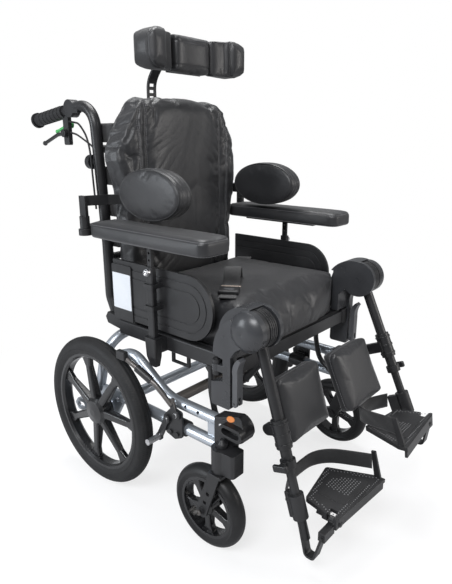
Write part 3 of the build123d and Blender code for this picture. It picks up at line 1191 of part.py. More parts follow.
def thumb_lever():
    """Shorter lever on the housing's inner side: tilt on the right, recline on the left."""
    x1 = GRIP_X - 6.3
    x = x1 - 4.5
    lever = across(x1 - 9, x1, BRAKE_ROOT_Y, HAND_ROOT_Z, 9)
    lever += pipe([
        (x, BRAKE_ROOT_Y + 2, HAND_ROOT_Z),
        (x, BRAKE_ROOT_Y + 26, HAND_ROOT_Z - 5),
        (x + 4, BRAKE_ROOT_Y + 60, HAND_ROOT_Z - 17),
    ], 4.2, [30])
    lever += Pos(x + 4, BRAKE_ROOT_Y + 60, HAND_ROOT_Z - 17) * Sphere(5.5)
    return lever - across(x1 - 10, x1 + 1, BRAKE_ROOT_Y, HAND_ROOT_Z, LEVER_PIN_R + RUN)


# ---------------------------------------------------------------------------
# lateral trunk supports
# ---------------------------------------------------------------------------

TRUNK_PAD_X = 215.0
TRUNK_PAD_T = 50.0
TRUNK_PAD_Y = AXLE_Y - 159.0
TRUNK_PAD_Z = 777.0
TRUNK_PAD_REAR_Y = AXLE_Y - 54.0


def lateral_arm():
    """Upright plate on the pivot pin and a bent flat bar that carries the pad."""
    z0 = TRUNK_BAR_Z + 3.3
    arm = upright(TRUNK_PIVOT_X, TRUNK_PIVOT_Y, z0, z0 + 24, 12)
    arm += block(TRUNK_PIVOT_X - 4, TRUNK_PIVOT_X + 4, TRUNK_PIVOT_Y - 12, TRUNK_PIVOT_Y + 12, z0 + 8,
                 770)
    arm += ribbon([
        (TRUNK_PIVOT_X, TRUNK_PIVOT_Y, 758),
        (TRUNK_PAD_X + 22, TRUNK_PIVOT_Y - 20, 758),
        (TRUNK_PAD_X, TRUNK_PIVOT_Y - 38, 758),
        (TRUNK_PAD_X, TRUNK_PAD_REAR_Y - 6, 758),
    ], 24, 5, [14, 12], across_axis=(0, 0, 1))
    arm += block(TRUNK_PAD_X - 2.5, TRUNK_PAD_X + 2.5, TRUNK_PAD_REAR_Y - 40, TRUNK_PAD_REAR_Y, 740, 776)
    return arm - upright(TRUNK_PIVOT_X, TRUNK_PIVOT_Y, z0 - 1, z0 + 25, 5 + RUN)


def lateral_pad():
    """Flat-crowned oval pad with a slot at its rear for the arm."""
    half_l = 106.0
    half_h = 60.0
    plane = Plane(origin=(TRUNK_PAD_X - TRUNK_PAD_T / 2, TRUNK_PAD_Y, TRUNK_PAD_Z), x_dir=(0, 1, 0),
                  z_dir=(1, 0, 0))
    body = extrude(plane * Ellipse(half_l, half_h), amount=TRUNK_PAD_T)
    body = fillet(body.edges(), 13)
    body &= block(TRUNK_PAD_X - 40, TRUNK_PAD_X + 40, TRUNK_PAD_Y - half_l - 1, TRUNK_PAD_REAR_Y,
                  TRUNK_PAD_Z - half_h - 1, TRUNK_PAD_Z + half_h + 1)
    return body - block(TRUNK_PAD_X - 2.8, TRUNK_PAD_X + 2.8, TRUNK_PAD_REAR_Y - 40.5,
                        TRUNK_PAD_REAR_Y + 1, 739.5, 776.5)


# ---------------------------------------------------------------------------
# legrests
# ---------------------------------------------------------------------------

BARREL_X0 = 206.0
BARREL_X1 = 242.7
COVER_X0 = 243.0
COVER_X1 = 265.0
KNEE_PIN_R = 10.0
LEG_TUBE_R = 12.5
FOOT_TUBE_R = 10.0
RELEASE_Y = SEAT_FRONT_Y - 13.0
RELEASE_Z = 362.0
RELEASE_TOP_Z = 466.0
HANGER_Z0 = 344.0
DOME_X = 272.0
ELBOW_X0 = 192.0
ELBOW_X1 = 247.0
ELBOW_R = 46.0
ELBOW_Z0 = 453.0
ELBOW_FRONT_Y = AXLE_Y - 426.0
ELBOW_REAR_Y = AXLE_Y - 385.0
FOOT_ANGLE = 17.5
PLATE_PIN_X = 182.0
PLATE_PIN_R = 4.0


def leg_place(leg, shape):
    """Put a shape drawn round the knee (x, rearward, down the leg = -z) on the chair."""
    slope = math.radians(leg["slope"])
    frame = Plane(origin=(0, leg["knee_y"], leg["knee_z"]), x_dir=(1, 0, 0),
                  z_dir=(0, math.sin(slope), math.cos(slope)))
    return frame * shape


def foot_place(leg, shape):
    """Put a shape drawn round the foot (x, rearward, up) on the leg below its sleeve."""
    down = leg["sleeve"] + 7
    return leg_place(leg, Pos(0, 0, -down) * Rot(FOOT_ANGLE, 0, 0) * shape)


def legrest_hanger(leg):
    """Curved cover from the swing pin up to the knee, its dome, the elbow behind and the pin."""
    ky = leg["knee_y"]
    kz = leg["knee_z"]
    front = SEAT_FRONT_Y - 3
    rear = SWING_Y + 8
    neck = SWING_Y - 25
    cover = prism_x([
        Line((front + 6, HANGER_Z0), (rear - 8, HANGER_Z0)),
        ThreePointArc((rear - 8, HANGER_Z0), (rear - 2, HANGER_Z0 + 2), (rear, HANGER_Z0 + 8)),
        Line((rear, HANGER_Z0 + 8), (rear, KNUCKLE_Z - 34)),
        Line((rear, KNUCKLE_Z - 34), (neck, KNUCKLE_Z - 25)),
        Line((neck, KNUCKLE_Z - 25), (neck, KNUCKLE_Z + 25)),
        Line((neck, KNUCKLE_Z + 25), (rear - 6, KNUCKLE_Z + 31)),
        ThreePointArc((rear - 6, KNUCKLE_Z + 31), (rear - 9, (KNUCKLE_Z + kz) / 2 + 14),
                      (ky + 36, kz + 22)),
        Line((ky + 36, kz + 22), (ky - 24, kz - 30)),
        ThreePointArc((ky - 24, kz - 30), (front - 14, kz - 44), (front, RELEASE_TOP_Z - 2)),
        Line((front, RELEASE_TOP_Z - 2), (front, HANGER_Z0 + 8)),
        ThreePointArc((front, HANGER_Z0 + 8), (front + 2, HANGER_Z0 + 2), (front + 6, HANGER_Z0)),
    ], COVER_X0, COVER_X1)
    dome = revolve(make_face(Wire([
        Line((COVER_X0, 0, 0), (COVER_X0, 0, KNEE_R)),
        Line((COVER_X0, 0, KNEE_R), (COVER_X1 - 8, 0, KNEE_R)),
        ThreePointArc((COVER_X1 - 8, 0, KNEE_R), (COVER_X1 + 5, 0, KNEE_R * 0.62), (DOME_X, 0, 0)),
        Line((DOME_X, 0, 0), (COVER_X0, 0, 0)),
    ])), axis=Axis.X)
    cover += Pos(0, ky, kz) * dome
    knuckle = upright(SWING_X, SWING_Y, KNUCKLE_Z - KNUCKLE_H / 2, KNUCKLE_Z + KNUCKLE_H / 2, 11)
    knuckle += block(SWING_X - 8, SWING_X + 8, SWING_Y - 30, SWING_Y, KNUCKLE_Z - KNUCKLE_H / 2,
                     KNUCKLE_Z + KNUCKLE_H / 2)
    cover += knuckle
    cover -= upright(SWING_X, SWING_Y, KNUCKLE_Z - 12, KNUCKLE_Z + 12, SWING_PIN_R + RUN)
    elbow = prism_x([
        Line((ELBOW_FRONT_Y, ELBOW_Z0), (ELBOW_REAR_Y, ELBOW_Z0)),
        Line((ELBOW_REAR_Y, ELBOW_Z0), (ELBOW_REAR_Y, kz - 30)),
        ThreePointArc((ELBOW_REAR_Y, kz - 30), ((ELBOW_REAR_Y + ky) / 2 + 21, kz + 26), (ky, kz + ELBOW_R)),
        Line((ky, kz + ELBOW_R), (ky, kz)),
        Line((ky, kz), (ELBOW_FRONT_Y, kz - 50)),
        Line((ELBOW_FRONT_Y, kz - 50), (ELBOW_FRONT_Y, ELBOW_Z0)),
    ], ELBOW_X0, ELBOW_X1)
    elbow += across(ELBOW_X0, ELBOW_X0 + 10, ky, kz, ELBOW_R)
    elbow -= across(BARREL_X0 - 0.3, COVER_X0, ky, kz, KNEE_R + 1.5)
    elbow -= block(ELBOW_X0 - 1, CUSHION_HALF_W + 1.5, CUSHION_FRONT_Y + 24, ELBOW_REAR_Y + 5,
                   ELBOW_Z0 - 1, CUSHION_TOP_Z + 2)
    cover += elbow
    cover += across(BARREL_X0 - 6, COVER_X0 + 1, ky, kz, KNEE_PIN_R)
    lug = block(SWING_X - 4, SWING_X + 4, RELEASE_Y - 1, front + 2, RELEASE_Z - 8, RELEASE_Z + 8)
    lug += across(SWING_X - 4, SWING_X + 4, RELEASE_Y, RELEASE_Z, 7)
    cover += lug
    return cover + across(SWING_X - 9, SWING_X + 9, RELEASE_Y, RELEASE_Z, 3)


def release_lever():
    """Grey blade hooked over the hanger's front lug; its curved top is pulled forward."""
    y = RELEASE_Y
    lever = prism_x([
        ThreePointArc((y - 8, RELEASE_Z), (y, RELEASE_Z - 8), (y + 5, RELEASE_Z - 5)),
        Line((y + 5, RELEASE_Z - 5), (y + 5, RELEASE_TOP_Z - 40)),
        ThreePointArc((y + 5, RELEASE_TOP_Z - 40), (y + 2, RELEASE_TOP_Z - 14), (y - 9, RELEASE_TOP_Z)),
        Line((y - 9, RELEASE_TOP_Z), (y - 16, RELEASE_TOP_Z - 5)),
        ThreePointArc((y - 16, RELEASE_TOP_Z - 5), (y - 9, RELEASE_TOP_Z - 22), (y - 8, RELEASE_TOP_Z - 42)),
        Line((y - 8, RELEASE_TOP_Z - 42), (y - 8, RELEASE_Z)),
    ], SWING_X - 9.5, SWING_X + 9.5)
    lever -= block(SWING_X - 4.3, SWING_X + 4.3, RELEASE_Y - 9, RELEASE_Y + 6, RELEASE_Z - 12,
                   RELEASE_Z + 14)
    return lever - across(SWING_X - 12, SWING_X + 12, RELEASE_Y, RELEASE_Z, 3 + RUN)


def leg_tube(leg):
    """Ribbed knee barrel, outer tube, calf pad clamp and the ring clamp with its wing knob."""
    rings = [(BARREL_X0, KNEE_PIN_R + RUN), (BARREL_X0, KNEE_R - 3)]
    for number in range(4):
        x = BARREL_X0 + 2 + number * 6
        rings += [(x, KNEE_R - 2), (x, KNEE_R), (x + 4, KNEE_R), (x + 4, KNEE_R - 2)]
    rings += [(BARREL_X1 - 8, KNEE_R - 2), (BARREL_X1 - 8, KNEE_R), (BARREL_X1, KNEE_R),
              (BARREL_X1, KNEE_PIN_R + RUN)]
    tube = ring_x(rings)
    outer = leg["outer"]
    tube += upright(LEG_X, 0, -outer, -KNEE_R + 6, LEG_TUBE_R)
    calf = leg["calf"]
    tube += upright(LEG_X, 0, -calf - 31, -calf + 31, 17.5)
    for offset in (-22, 0, 22):
        tube += upright(LEG_X, 0, -calf + offset - 2, -calf + offset + 2, 19)
    arm_x0 = LEG_X - 24
    tube += block(arm_x0, LEG_X - 10, 0, 46, -calf - 13, -calf + 13)
    tube += across(arm_x0, LEG_X - 10, 46, -calf, 13)
    tube += across(140, arm_x0 + 1, 46, -calf, 6)
    clamp = outer - 8
    tube += upright(LEG_X, 0, -outer, -clamp + 8, 17)
    tube += block(LEG_X + 12, LEG_X + 26, -6, 6, -clamp - 6, -clamp + 6)
    tube += soft_block(LEG_X + 24, LEG_X + 34, -18, 18, -clamp - 8, -clamp + 8, 4)
    tube -= upright(LEG_X, 0, -outer - 1, -KNEE_R - 4, FOOT_TUBE_R + RUN)
    return leg_place(leg, tube)


CALF_W = 168.0
CALF_H = 148.0
CALF_T = 48.0


def calf_pad(leg):
    """Padded block with a crowned front, rolled edges and a bore for its pivot."""
    z = -leg["calf"] + leg["pad"]
    y0 = 12.0
    y1 = y0 + CALF_T
    x0 = 4.0
    x1 = x0 + CALF_W
    plan = prism_z([
        ThreePointArc((x0 + 22, y0 + 3), ((x0 + x1) / 2, y0), (x1 - 22, y0 + 3)),
        ThreePointArc((x1 - 22, y0 + 3), (x1 - 5, y0 + 9), (x1, y0 + 24)),
        ThreePointArc((x1, y0 + 24), (x1 - 6, y1 - 8), (x1 - 22, y1)),
        Line((x1 - 22, y1), (x0 + 22, y1)),
        ThreePointArc((x0 + 22, y1), (x0 + 6, y1 - 8), (x0, y0 + 24)),
        ThreePointArc((x0, y0 + 24), (x0 + 5, y0 + 9), (x0 + 22, y0 + 3)),
    ], z - CALF_H, z + CALF_H)
    profile = prism_x([
        ThreePointArc((y0 + 20, z - CALF_H / 2), (y0 + 5, z - CALF_H / 2 + 6), (y0 + 2, z - CALF_H / 2 + 22)),
        ThreePointArc((y0 + 2, z - CALF_H / 2 + 22), (y0, z), (y0 + 2, z + CALF_H / 2 - 22)),
        ThreePointArc((y0 + 2, z + CALF_H / 2 - 22), (y0 + 5, z + CALF_H / 2 - 6), (y0 + 20, z + CALF_H / 2)),
        Line((y0 + 20, z + CALF_H / 2), (y1 - 8, z + CALF_H / 2)),
        ThreePointArc((y1 - 8, z + CALF_H / 2), (y1 - 2, z + CALF_H / 2 - 2), (y1, z + CALF_H / 2 - 8)),
        Line((y1, z + CALF_H / 2 - 8), (y1, z - CALF_H / 2 + 8)),
        ThreePointArc((y1, z - CALF_H / 2 + 8), (y1 - 2, z - CALF_H / 2 + 2), (y1 - 8, z - CALF_H / 2)),
        Line((y1 - 8, z - CALF_H / 2), (y0 + 20, z - CALF_H / 2)),
    ], x0 - 5, x1 + 5)
    front = prism_y([
        Line((x0 + 26, z - CALF_H / 2), (x1 - 26, z - CALF_H / 2)),
        ThreePointArc((x1 - 26, z - CALF_H / 2), (x1 - 6, z - CALF_H / 2 + 6), (x1, z - CALF_H / 2 + 28)),
        Line((x1, z - CALF_H / 2 + 28), (x1, z + CALF_H / 2 - 28)),
        ThreePointArc((x1, z + CALF_H / 2 - 28), (x1 - 6, z + CALF_H / 2 - 6), (x1 - 26, z + CALF_H / 2)),
        Line((x1 - 26, z + CALF_H / 2), (x0 + 26, z + CALF_H / 2)),
        ThreePointArc((x0 + 26, z + CALF_H / 2), (x0 + 6, z + CALF_H / 2 - 6), (x0, z + CALF_H / 2 - 28)),
        Line((x0, z + CALF_H / 2 - 28), (x0, z - CALF_H / 2 + 28)),
        ThreePointArc((x0, z - CALF_H / 2 + 28), (x0 + 6, z - CALF_H / 2 + 6), (x0 + 26, z - CALF_H / 2)),
    ], y0 - 5, y1 + 5)
    pad = plan & profile & front
    pad -= across(139, x1 + 5, 46, -leg["calf"], 6 + RUN)
    return leg_place(leg, pad)


def foot_tube(leg):
    """Inner tube, sleeve, strap block, U-shaped yoke and the footplate's hinge block."""
    sleeve = leg["sleeve"]
    top = 170.0 - (300.0 - leg["outer"])
    tube = upright(LEG_X, 0, -leg["end"], -top, FOOT_TUBE_R)
    tube += upright(LEG_X, 0, -sleeve - 27, -sleeve + 27, 17)
    tube += block(201, 216, 8, 34, -sleeve - 34, -sleeve + 24)
    tube = leg_place(leg, tube)
    yoke = ribbon([
        (LEG_X, -8, -28), (LEG_X, -26, -98), (LEG_X, -46, -98), (LEG_X, -62, -34),
    ], 22, 5, [9, 9])
    hinge = block(186, 226, -68, -52, -46, -26)
    hinge += bar((PLATE_PIN_X, -66, -18), (PLATE_PIN_X, -54, -18), 7)
    hinge += block(PLATE_PIN_X - 3, 192, -66, -54, -34, -18)
    hinge += bar((PLATE_PIN_X, -82, -18), (PLATE_PIN_X, -22, -18), PLATE_PIN_R)
    return tube + foot_place(leg, yoke + hinge)


def footplate(leg):
    """Tray with a deep front lip, a raised grip patch, hinge knuckles and the strap post."""
    outline = [(200, -80), (5, -94), (6, -72), (54, 33), (181, 9)]
    face = make_face(Polyline(*outline, close=True))
    corners = face.vertices().sort_by(Axis.Y)
    face = fillet(corners[1:], 8)
    plate = Pos(0, 0, -9) * extrude(face, 9)
    patch = make_face(Polyline((150, -66), (40, -74), (52, -30), (84, 8), (150, -4), close=True))
    plate += Pos(0, 0, -1) * extrude(fillet(patch.vertices(), 10), 2)
    lip = extrude(Pos(0, 0, -26) * make_face(Polyline(
        (199, -78), (8, -92), (8, -86), (199, -72), close=True)), 27)
    plate += lip
    plate -= block(PLATE_PIN_X - 9, 204, -69, -51, -30, 6)
    for v0, v1 in ((-81, -70), (-50, -38)):
        knuckle = bar((PLATE_PIN_X, v0, -18), (PLATE_PIN_X, v1, -18), 8)
        knuckle += block(PLATE_PIN_X - 8, PLATE_PIN_X + 8, v0, v1, -18, -1)
        plate += knuckle
    plate -= bar((PLATE_PIN_X, -84, -18), (PLATE_PIN_X, -20, -18), PLATE_PIN_R + RUN)
    post = plate_yz(8, 14, [(-88, -4), (-72, -4), (-58, 62), (-68, 64)])
    return foot_place(leg, plate + post)


def heel_strap(leg):
    """Webbing from the strap block, round behind the heel, to the post on the footplate."""
    path = FilletPolyline((206, 43.5, 8), (150, 72, 11), (60, 58, 26), (17.5, -64, 40),
                          radius=[30, 44])
    start = Plane(origin=path @ 0, x_dir=(0, 0, 1), z_dir=path % 0)
    strap = sweep(start * Rectangle(STRAP_W, BELT_T), path=path)
    return foot_place(leg, strap)


STRAP_W = 38.0
BELT_W = 42.0
BELT_T = 2.0
CABLE_R = 2.5


def control_cables():
    """Brake and release cables from each lever housing to the cane, and down beside it."""
    cables = []
    for side in SIDES.values():
        arc = pipe([
            (GRIP_X, LEVER_BLOCK_Y0 - 1, BRAKE_ROOT_Z + 2),
            (GRIP_X, LEVER_BLOCK_Y0 - 38, BRAKE_ROOT_Z - 6),
            (GRIP_X - 14, cane_y(880) + 22, BRAKE_ROOT_Z - 46),
            (GRIP_X - 19, cane_y(800) + 17, 800),
            (GRIP_X - 19, cane_y(660) + 17, 650),
        ], CABLE_R, [30, 40, 60])
        straight = pipe([
            (GRIP_X + 2, LEVER_BLOCK_Y0 - 1, HAND_ROOT_Z + 8),
            (GRIP_X + 4, LEVER_BLOCK_Y0 - 50, HAND_ROOT_Z + 2),
            (GRIP_X + 27, cane_y(880) + 4, BRAKE_ROOT_Z - 20),
            (GRIP_X + 28, cane_y(800) + 3, 790),
            (GRIP_X + 28, cane_y(740) + 2, 728),
        ], CABLE_R, [30, 36, 60])
        cables += [sided(arc, side), sided(straight, side)]
    return cables


# ---------------------------------------------------------------------------
# write the sub-parts
# ---------------------------------------------------------------------------

rear_frame = axle_frame()
save("axle_frame", rear_frame)
castings = []
for name, side in SIDES.items():
    save(f"side_frame_{name}", sided(side_frame(rear_frame), side))
    castings.append(sided(castor_casting(), side))
    castings.append(sided(brake_clamp(), side))
    save(f"rear_tyre_{name}", sided(rear_wheel_place(rear_tyre()), side))
    save(f"rear_rim_{name}", sided(rear_wheel_place(rear_rim()), side))
    save(f"castor_fork_{name}", sided(castor_fork(), side))
    save(f"castor_wheel_{name}", *[sided(piece, side) for piece in castor_wheel()])
    save(f"brake_lever_{name}", sided(brake_lever(), side))
    save(f"brake_shoe_{name}", sided(brake_shoe(), side))
save("chassis_castings", *castings)
save("cross_tube", cross_tube(rear_frame))
save("tilt_cylinder", tilt_cylinder())
save("tilt_rod", tilt_rod())
save("seat_frame", seat_frame())
save("seat_cushion", seat_cushion())
for name, side in SIDES.items():
    save(f"side_panel_{name}", sided(side_panel(side), side))
    save(f"armrest_post_{name}", sided(armrest_post(), side))
    save(f"armrest_pad_{name}", sided(armrest_pad(), side))
save("hip_belt", *hip_belt())
save("back_frame", back_frame())
save("back_straps", *back_straps())
save("back_cushion", back_cushion())
save("headrest_arm", headrest_arm())
save("headrest_pad", headrest_pad())
save("tilt_hand_lever", sided(thumb_lever(), SIDES["right"]))
save("recline_hand_lever", sided(thumb_lever(), SIDES["left"]))
save("control_cables", *control_cables())
for name, side in SIDES.items():
    leg = LEG[name]
    save(f"headrest_wing_{name}", sided(headrest_wing(), side))
    save(f"push_handle_{name}", sided(push_handle(), side))
    save(f"hand_brake_lever_{name}", sided(hand_brake_lever(), side))
    save(f"lateral_arm_{name}", sided(lateral_arm(), side))
    save(f"lateral_pad_{name}", sided(lateral_pad(), side))
    save(f"legrest_hanger_{name}", sided(legrest_hanger(leg), side))
    save(f"release_lever_{name}", sided(release_lever(), side))
    save(f"leg_tube_{name}", sided(leg_tube(leg), side))
    save(f"calf_pad_{name}", sided(calf_pad(leg), side))
    save(f"foot_tube_{name}", sided(foot_tube(leg), side))
    save(f"footplate_{name}", sided(footplate(leg), side))
    save(f"heel_strap_{name}", sided(heel_strap(leg), side))
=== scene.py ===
"""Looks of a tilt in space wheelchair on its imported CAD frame. Metres, +Z up, front at -Y, right at -X."""
import math
import random

import bpy
import bmesh
import numpy as np
from mathutils import Matrix, Vector
from mathutils.bvhtree import BVHTree


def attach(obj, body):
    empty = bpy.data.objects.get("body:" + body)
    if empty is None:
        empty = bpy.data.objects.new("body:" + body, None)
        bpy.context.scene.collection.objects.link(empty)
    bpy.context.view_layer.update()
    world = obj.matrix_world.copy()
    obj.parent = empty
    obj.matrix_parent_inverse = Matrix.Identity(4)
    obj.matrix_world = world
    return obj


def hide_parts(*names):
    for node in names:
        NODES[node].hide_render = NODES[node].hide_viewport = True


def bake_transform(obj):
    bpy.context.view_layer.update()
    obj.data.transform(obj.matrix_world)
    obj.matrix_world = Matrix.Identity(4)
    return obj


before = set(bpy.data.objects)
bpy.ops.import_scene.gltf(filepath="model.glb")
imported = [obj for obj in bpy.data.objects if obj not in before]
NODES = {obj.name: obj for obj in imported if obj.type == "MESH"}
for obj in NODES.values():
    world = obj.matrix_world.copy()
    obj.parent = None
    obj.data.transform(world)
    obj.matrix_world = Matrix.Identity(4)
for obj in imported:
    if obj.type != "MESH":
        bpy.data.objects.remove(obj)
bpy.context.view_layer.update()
scene = bpy.context.scene
SIDES = {"right": -1, "left": 1}
random.seed(7)
MM = 0.001
AXLE_Y = 188.26 * MM
AXLE_Z = 203.0 * MM


# ---------------------------------------------------------------------------
# materials
# ---------------------------------------------------------------------------

class Shader:
    """A Principled material with helpers that add procedural detail to it."""

    def __init__(self, name, color, rough, metal=0.0, **sockets):
        self.mat = bpy.data.materials.new(name)
        self.mat.use_nodes = True
        self.tree = self.mat.node_tree
        self.bsdf = self.tree.nodes["Principled BSDF"]
        self.bsdf.inputs["Metallic"].default_value = metal
        for socket, value in sockets.items():
            self.bsdf.inputs[socket.replace("_", " ")].default_value = value
        self.place = self.add("TexCoord").outputs["Object"]
        self.color = self.rgb(color)
        self.rough = self.value(rough)
        self.normal = None

    def add(self, kind, **settings):
        node = self.tree.nodes.new("ShaderNode" + kind)
        for key, value in settings.items():
            setattr(node, key, value)
        return node

    def link(self, source, socket):
        self.tree.links.new(source, socket)

    def rgb(self, color):
        node = self.add("RGB")
        node.outputs[0].default_value = (*color, 1)
        return node.outputs[0]

    def value(self, number):
        node = self.add("Value")
        node.outputs[0].default_value = number
        return node.outputs[0]

    def put(self, socket, given):
        if hasattr(given, "is_output"):
            self.link(given, socket)
        else:
            socket.default_value = given

    def math(self, operation, a, b=0.0, clamp=False):
        node = self.add("Math", operation=operation, use_clamp=clamp)
        self.put(node.inputs[0], a)
        self.put(node.inputs[1], b)
        return node.outputs[0]

    def ramp(self, source, low, high, to_low=0.0, to_high=1.0):
        node = self.add("MapRange", clamp=True)
        self.link(source, node.inputs["Value"])
        node.inputs["From Min"].default_value = low
        node.inputs["From Max"].default_value = high
        node.inputs["To Min"].default_value = to_low
        node.inputs["To Max"].default_value = to_high
        return node.outputs["Result"]

    def scaled(self, scale):
        node = self.add("Mapping")
        self.link(self.place, node.inputs["Vector"])
        node.inputs["Scale"].default_value = scale
        return node.outputs["Vector"]

    def noise(self, scale, detail=3.0, stretch=(1, 1, 1)):
        node = self.add("TexNoise")
        self.link(self.scaled(stretch), node.inputs["Vector"])
        node.inputs["Scale"].default_value = scale
        node.inputs["Detail"].default_value = detail
        return node.outputs["Fac"]

    def cells(self, scale, feature="F1", stretch=(1, 1, 1)):
        node = self.add("TexVoronoi", feature=feature)
        self.link(self.scaled(stretch), node.inputs["Vector"])
        node.inputs["Scale"].default_value = scale
        return node.outputs["Distance"]

    def axis(self, name):
        node = self.add("SeparateXYZ")
        self.link(self.place, node.inputs[0])
        return node.outputs[name]

    def mix_color(self, factor, color):
        """Blend a colour (three numbers or an output) over what is there."""
        node = self.add("Mix", data_type="RGBA")
        self.put(node.inputs["Factor"], factor)
        self.link(self.color, node.inputs["A"])
        if hasattr(color, "is_output"):
            self.link(color, node.inputs["B"])
        else:
            node.inputs["B"].default_value = (*color, 1)
        self.color = node.outputs["Result"]
        return self

    def mix_rough(self, factor, value):
        node = self.add("Mix", data_type="FLOAT")
        self.put(node.inputs["Factor"], factor)
        self.link(self.rough, node.inputs["A"])
        node.inputs["B"].default_value = value
        self.rough = node.outputs["Result"]
        return self

    def cloudy(self, other, scale=18.0, amount=0.6, rough=None):
        """Uneven colour, and uneven gloss where rough is given."""
        cloud = self.ramp(self.noise(scale, 4.0), 0.35, 0.7, 0.0, amount)
        self.mix_color(cloud, other)
        if rough is not None:
            self.mix_rough(cloud, rough)
        return self

    def bump(self, height, strength, distance):
        node = self.add("Bump")
        node.inputs["Strength"].default_value = strength
        node.inputs["Distance"].default_value = distance
        self.link(height, node.inputs["Height"])
        if self.normal is not None:
            self.link(self.normal, node.inputs["Normal"])
        self.normal = node.outputs["Normal"]
        return self

    def edges(self, radius=0.0009, edge_light_and_wear=None, amount=0.6):
        """Rounded edges, lighter along them where a colour is given: a painted edge highlight, broken up by
        noise like wear.
        """
        bevel = self.add("Bevel", samples=4)
        bevel.inputs["Radius"].default_value = radius
        self.normal = bevel.outputs["Normal"]
        if edge_light_and_wear is not None:
            geometry = self.add("NewGeometry")
            dot = self.add("VectorMath", operation="DOT_PRODUCT")
            self.link(bevel.outputs["Normal"], dot.inputs[0])
            self.link(geometry.outputs["Normal"], dot.inputs[1])
            edge = self.ramp(dot.outputs["Value"], 0.995, 0.86, 0.0, amount)
            broken = self.ramp(self.noise(160, 3.0), 0.35, 0.65, 0.25, 1.0)
            # Lighter colour along the edges: painted edge highlight, broken up by noise like wear.
            self.mix_color(self.math("MULTIPLY", edge, broken), edge_light_and_wear)
        return self

    def done(self):
        self.link(self.color, self.bsdf.inputs["Base Color"])
        self.link(self.rough, self.bsdf.inputs["Roughness"])
        if self.normal is not None:
            self.link(self.normal, self.bsdf.inputs["Normal"])
        return self.mat


def moulded(name, color, light, rough, grain=900.0, depth=0.00012, edge_light_and_wear=None, metal=0.0, **more):
    """Moulded plastic or powder-coated metal: fine grain, uneven gloss, soft edges with a painted highlight
    along them.
    """
    s = Shader(name, color, rough, metal, **more)
    # Edges lighter in the edge colour, or else in the light colour: painted edge highlight, broken up like
    # wear.
    s.edges(0.0009, edge_light_and_wear or light, 0.5)
    s.cloudy(light, 14.0, 0.5, rough + 0.1)
    s.bump(s.noise(grain, 2.0), 0.35, depth)
    return s.done()


def vinyl(name, color, light, rough=0.36):
    """Upholstery vinyl: small leather cells, creases and an uneven sheen."""
    s = Shader(name, color, rough, 0.0, Specular_IOR_Level=0.5, Sheen_Weight=0.12,
               Sheen_Roughness=0.4)
    s.cloudy(light, 9.0, 0.7, rough + 0.1)
    cell = s.cells(620.0, "DISTANCE_TO_EDGE")
    s.bump(s.ramp(cell, 0.0, 0.12), 0.28, 0.00018)
    s.bump(s.noise(240.0, 4.0), 0.18, 0.0003)
    s.bump(s.noise(26.0, 3.0), 0.12, 0.0012)
    return s.done()


def webbing(name, color, light, across, scale=1.0):
    """Woven strap: chevron ribs; across is the vector axis name over the strap's width."""
    s = Shader(name, color, 0.72, 0.0, Sheen_Weight=0.25, Sheen_Roughness=0.5)
    wave = s.add("TexWave", wave_type="BANDS", bands_direction="DIAGONAL")
    s.link(s.place, wave.inputs["Vector"])
    wave.inputs["Scale"].default_value = 260.0 * scale
    wave.inputs["Distortion"].default_value = 1.5
    wave.inputs["Detail Scale"].default_value = 2.0
    ribs = s.add("TexWave", wave_type="BANDS", bands_direction=across)
    s.link(s.place, ribs.inputs["Vector"])
    ribs.inputs["Scale"].default_value = 200.0 * scale
    weave = s.math("MULTIPLY", wave.outputs["Fac"], ribs.outputs["Fac"])
    s.mix_color(s.ramp(weave, 0.1, 0.9, 0.0, 0.6), light)
    s.cloudy(light, 30.0, 0.3)
    s.bump(weave, 0.6, 0.0004)
    return s.done()


def tube_paint():
    """Silver lacquer over tube: fine metal flake, faint scuffs."""
    s = Shader("silver_paint", (0.50, 0.54, 0.59), 0.30, 0.75, Coat_Weight=0.35,
               Coat_Roughness=0.12)
    # Lighter edges: painted edge highlight, broken up like wear.
    s.edges(0.0009, (0.72, 0.75, 0.78), 0.5)
    flake = s.cells(2600.0)
    s.mix_color(s.ramp(flake, 0.2, 0.6, 0.0, 0.35), (0.66, 0.70, 0.75))
    s.cloudy((0.42, 0.46, 0.51), 11.0, 0.4, 0.38)
    scuff = s.ramp(s.noise(90.0, 6.0, (1, 0.25, 1)), 0.62, 0.72)
    s.mix_rough(scuff, 0.5)
    s.bump(s.noise(420.0, 2.0), 0.1, 0.0002)
    return s.done()


def rubber(name, color, light, rough, dust):
    s = Shader(name, color, rough, 0.0, Specular_IOR_Level=0.35)
    s.cloudy(light, 22.0, 0.6, rough + 0.08)
    s.mix_color(s.ramp(s.noise(70.0, 5.0), 0.55, 0.8, 0.0, 0.35), dust)
    s.bump(s.noise(700.0, 3.0), 0.3, 0.0002)
    return s.done()


def bare_metal(name, color, rough, brushed=(1, 1, 1)):
    s = Shader(name, color, rough, 1.0)
    # Lighter edges: painted edge highlight, broken up like wear.
    s.edges(0.0006, (0.85, 0.85, 0.86), 0.4)
    s.mix_rough(s.ramp(s.noise(260.0, 4.0, brushed), 0.35, 0.7), rough + 0.16)
    s.cloudy(tuple(c * 0.8 for c in color), 40.0, 0.35)
    s.bump(s.noise(520.0, 2.0, brushed), 0.12, 0.0001)
    return s.done()
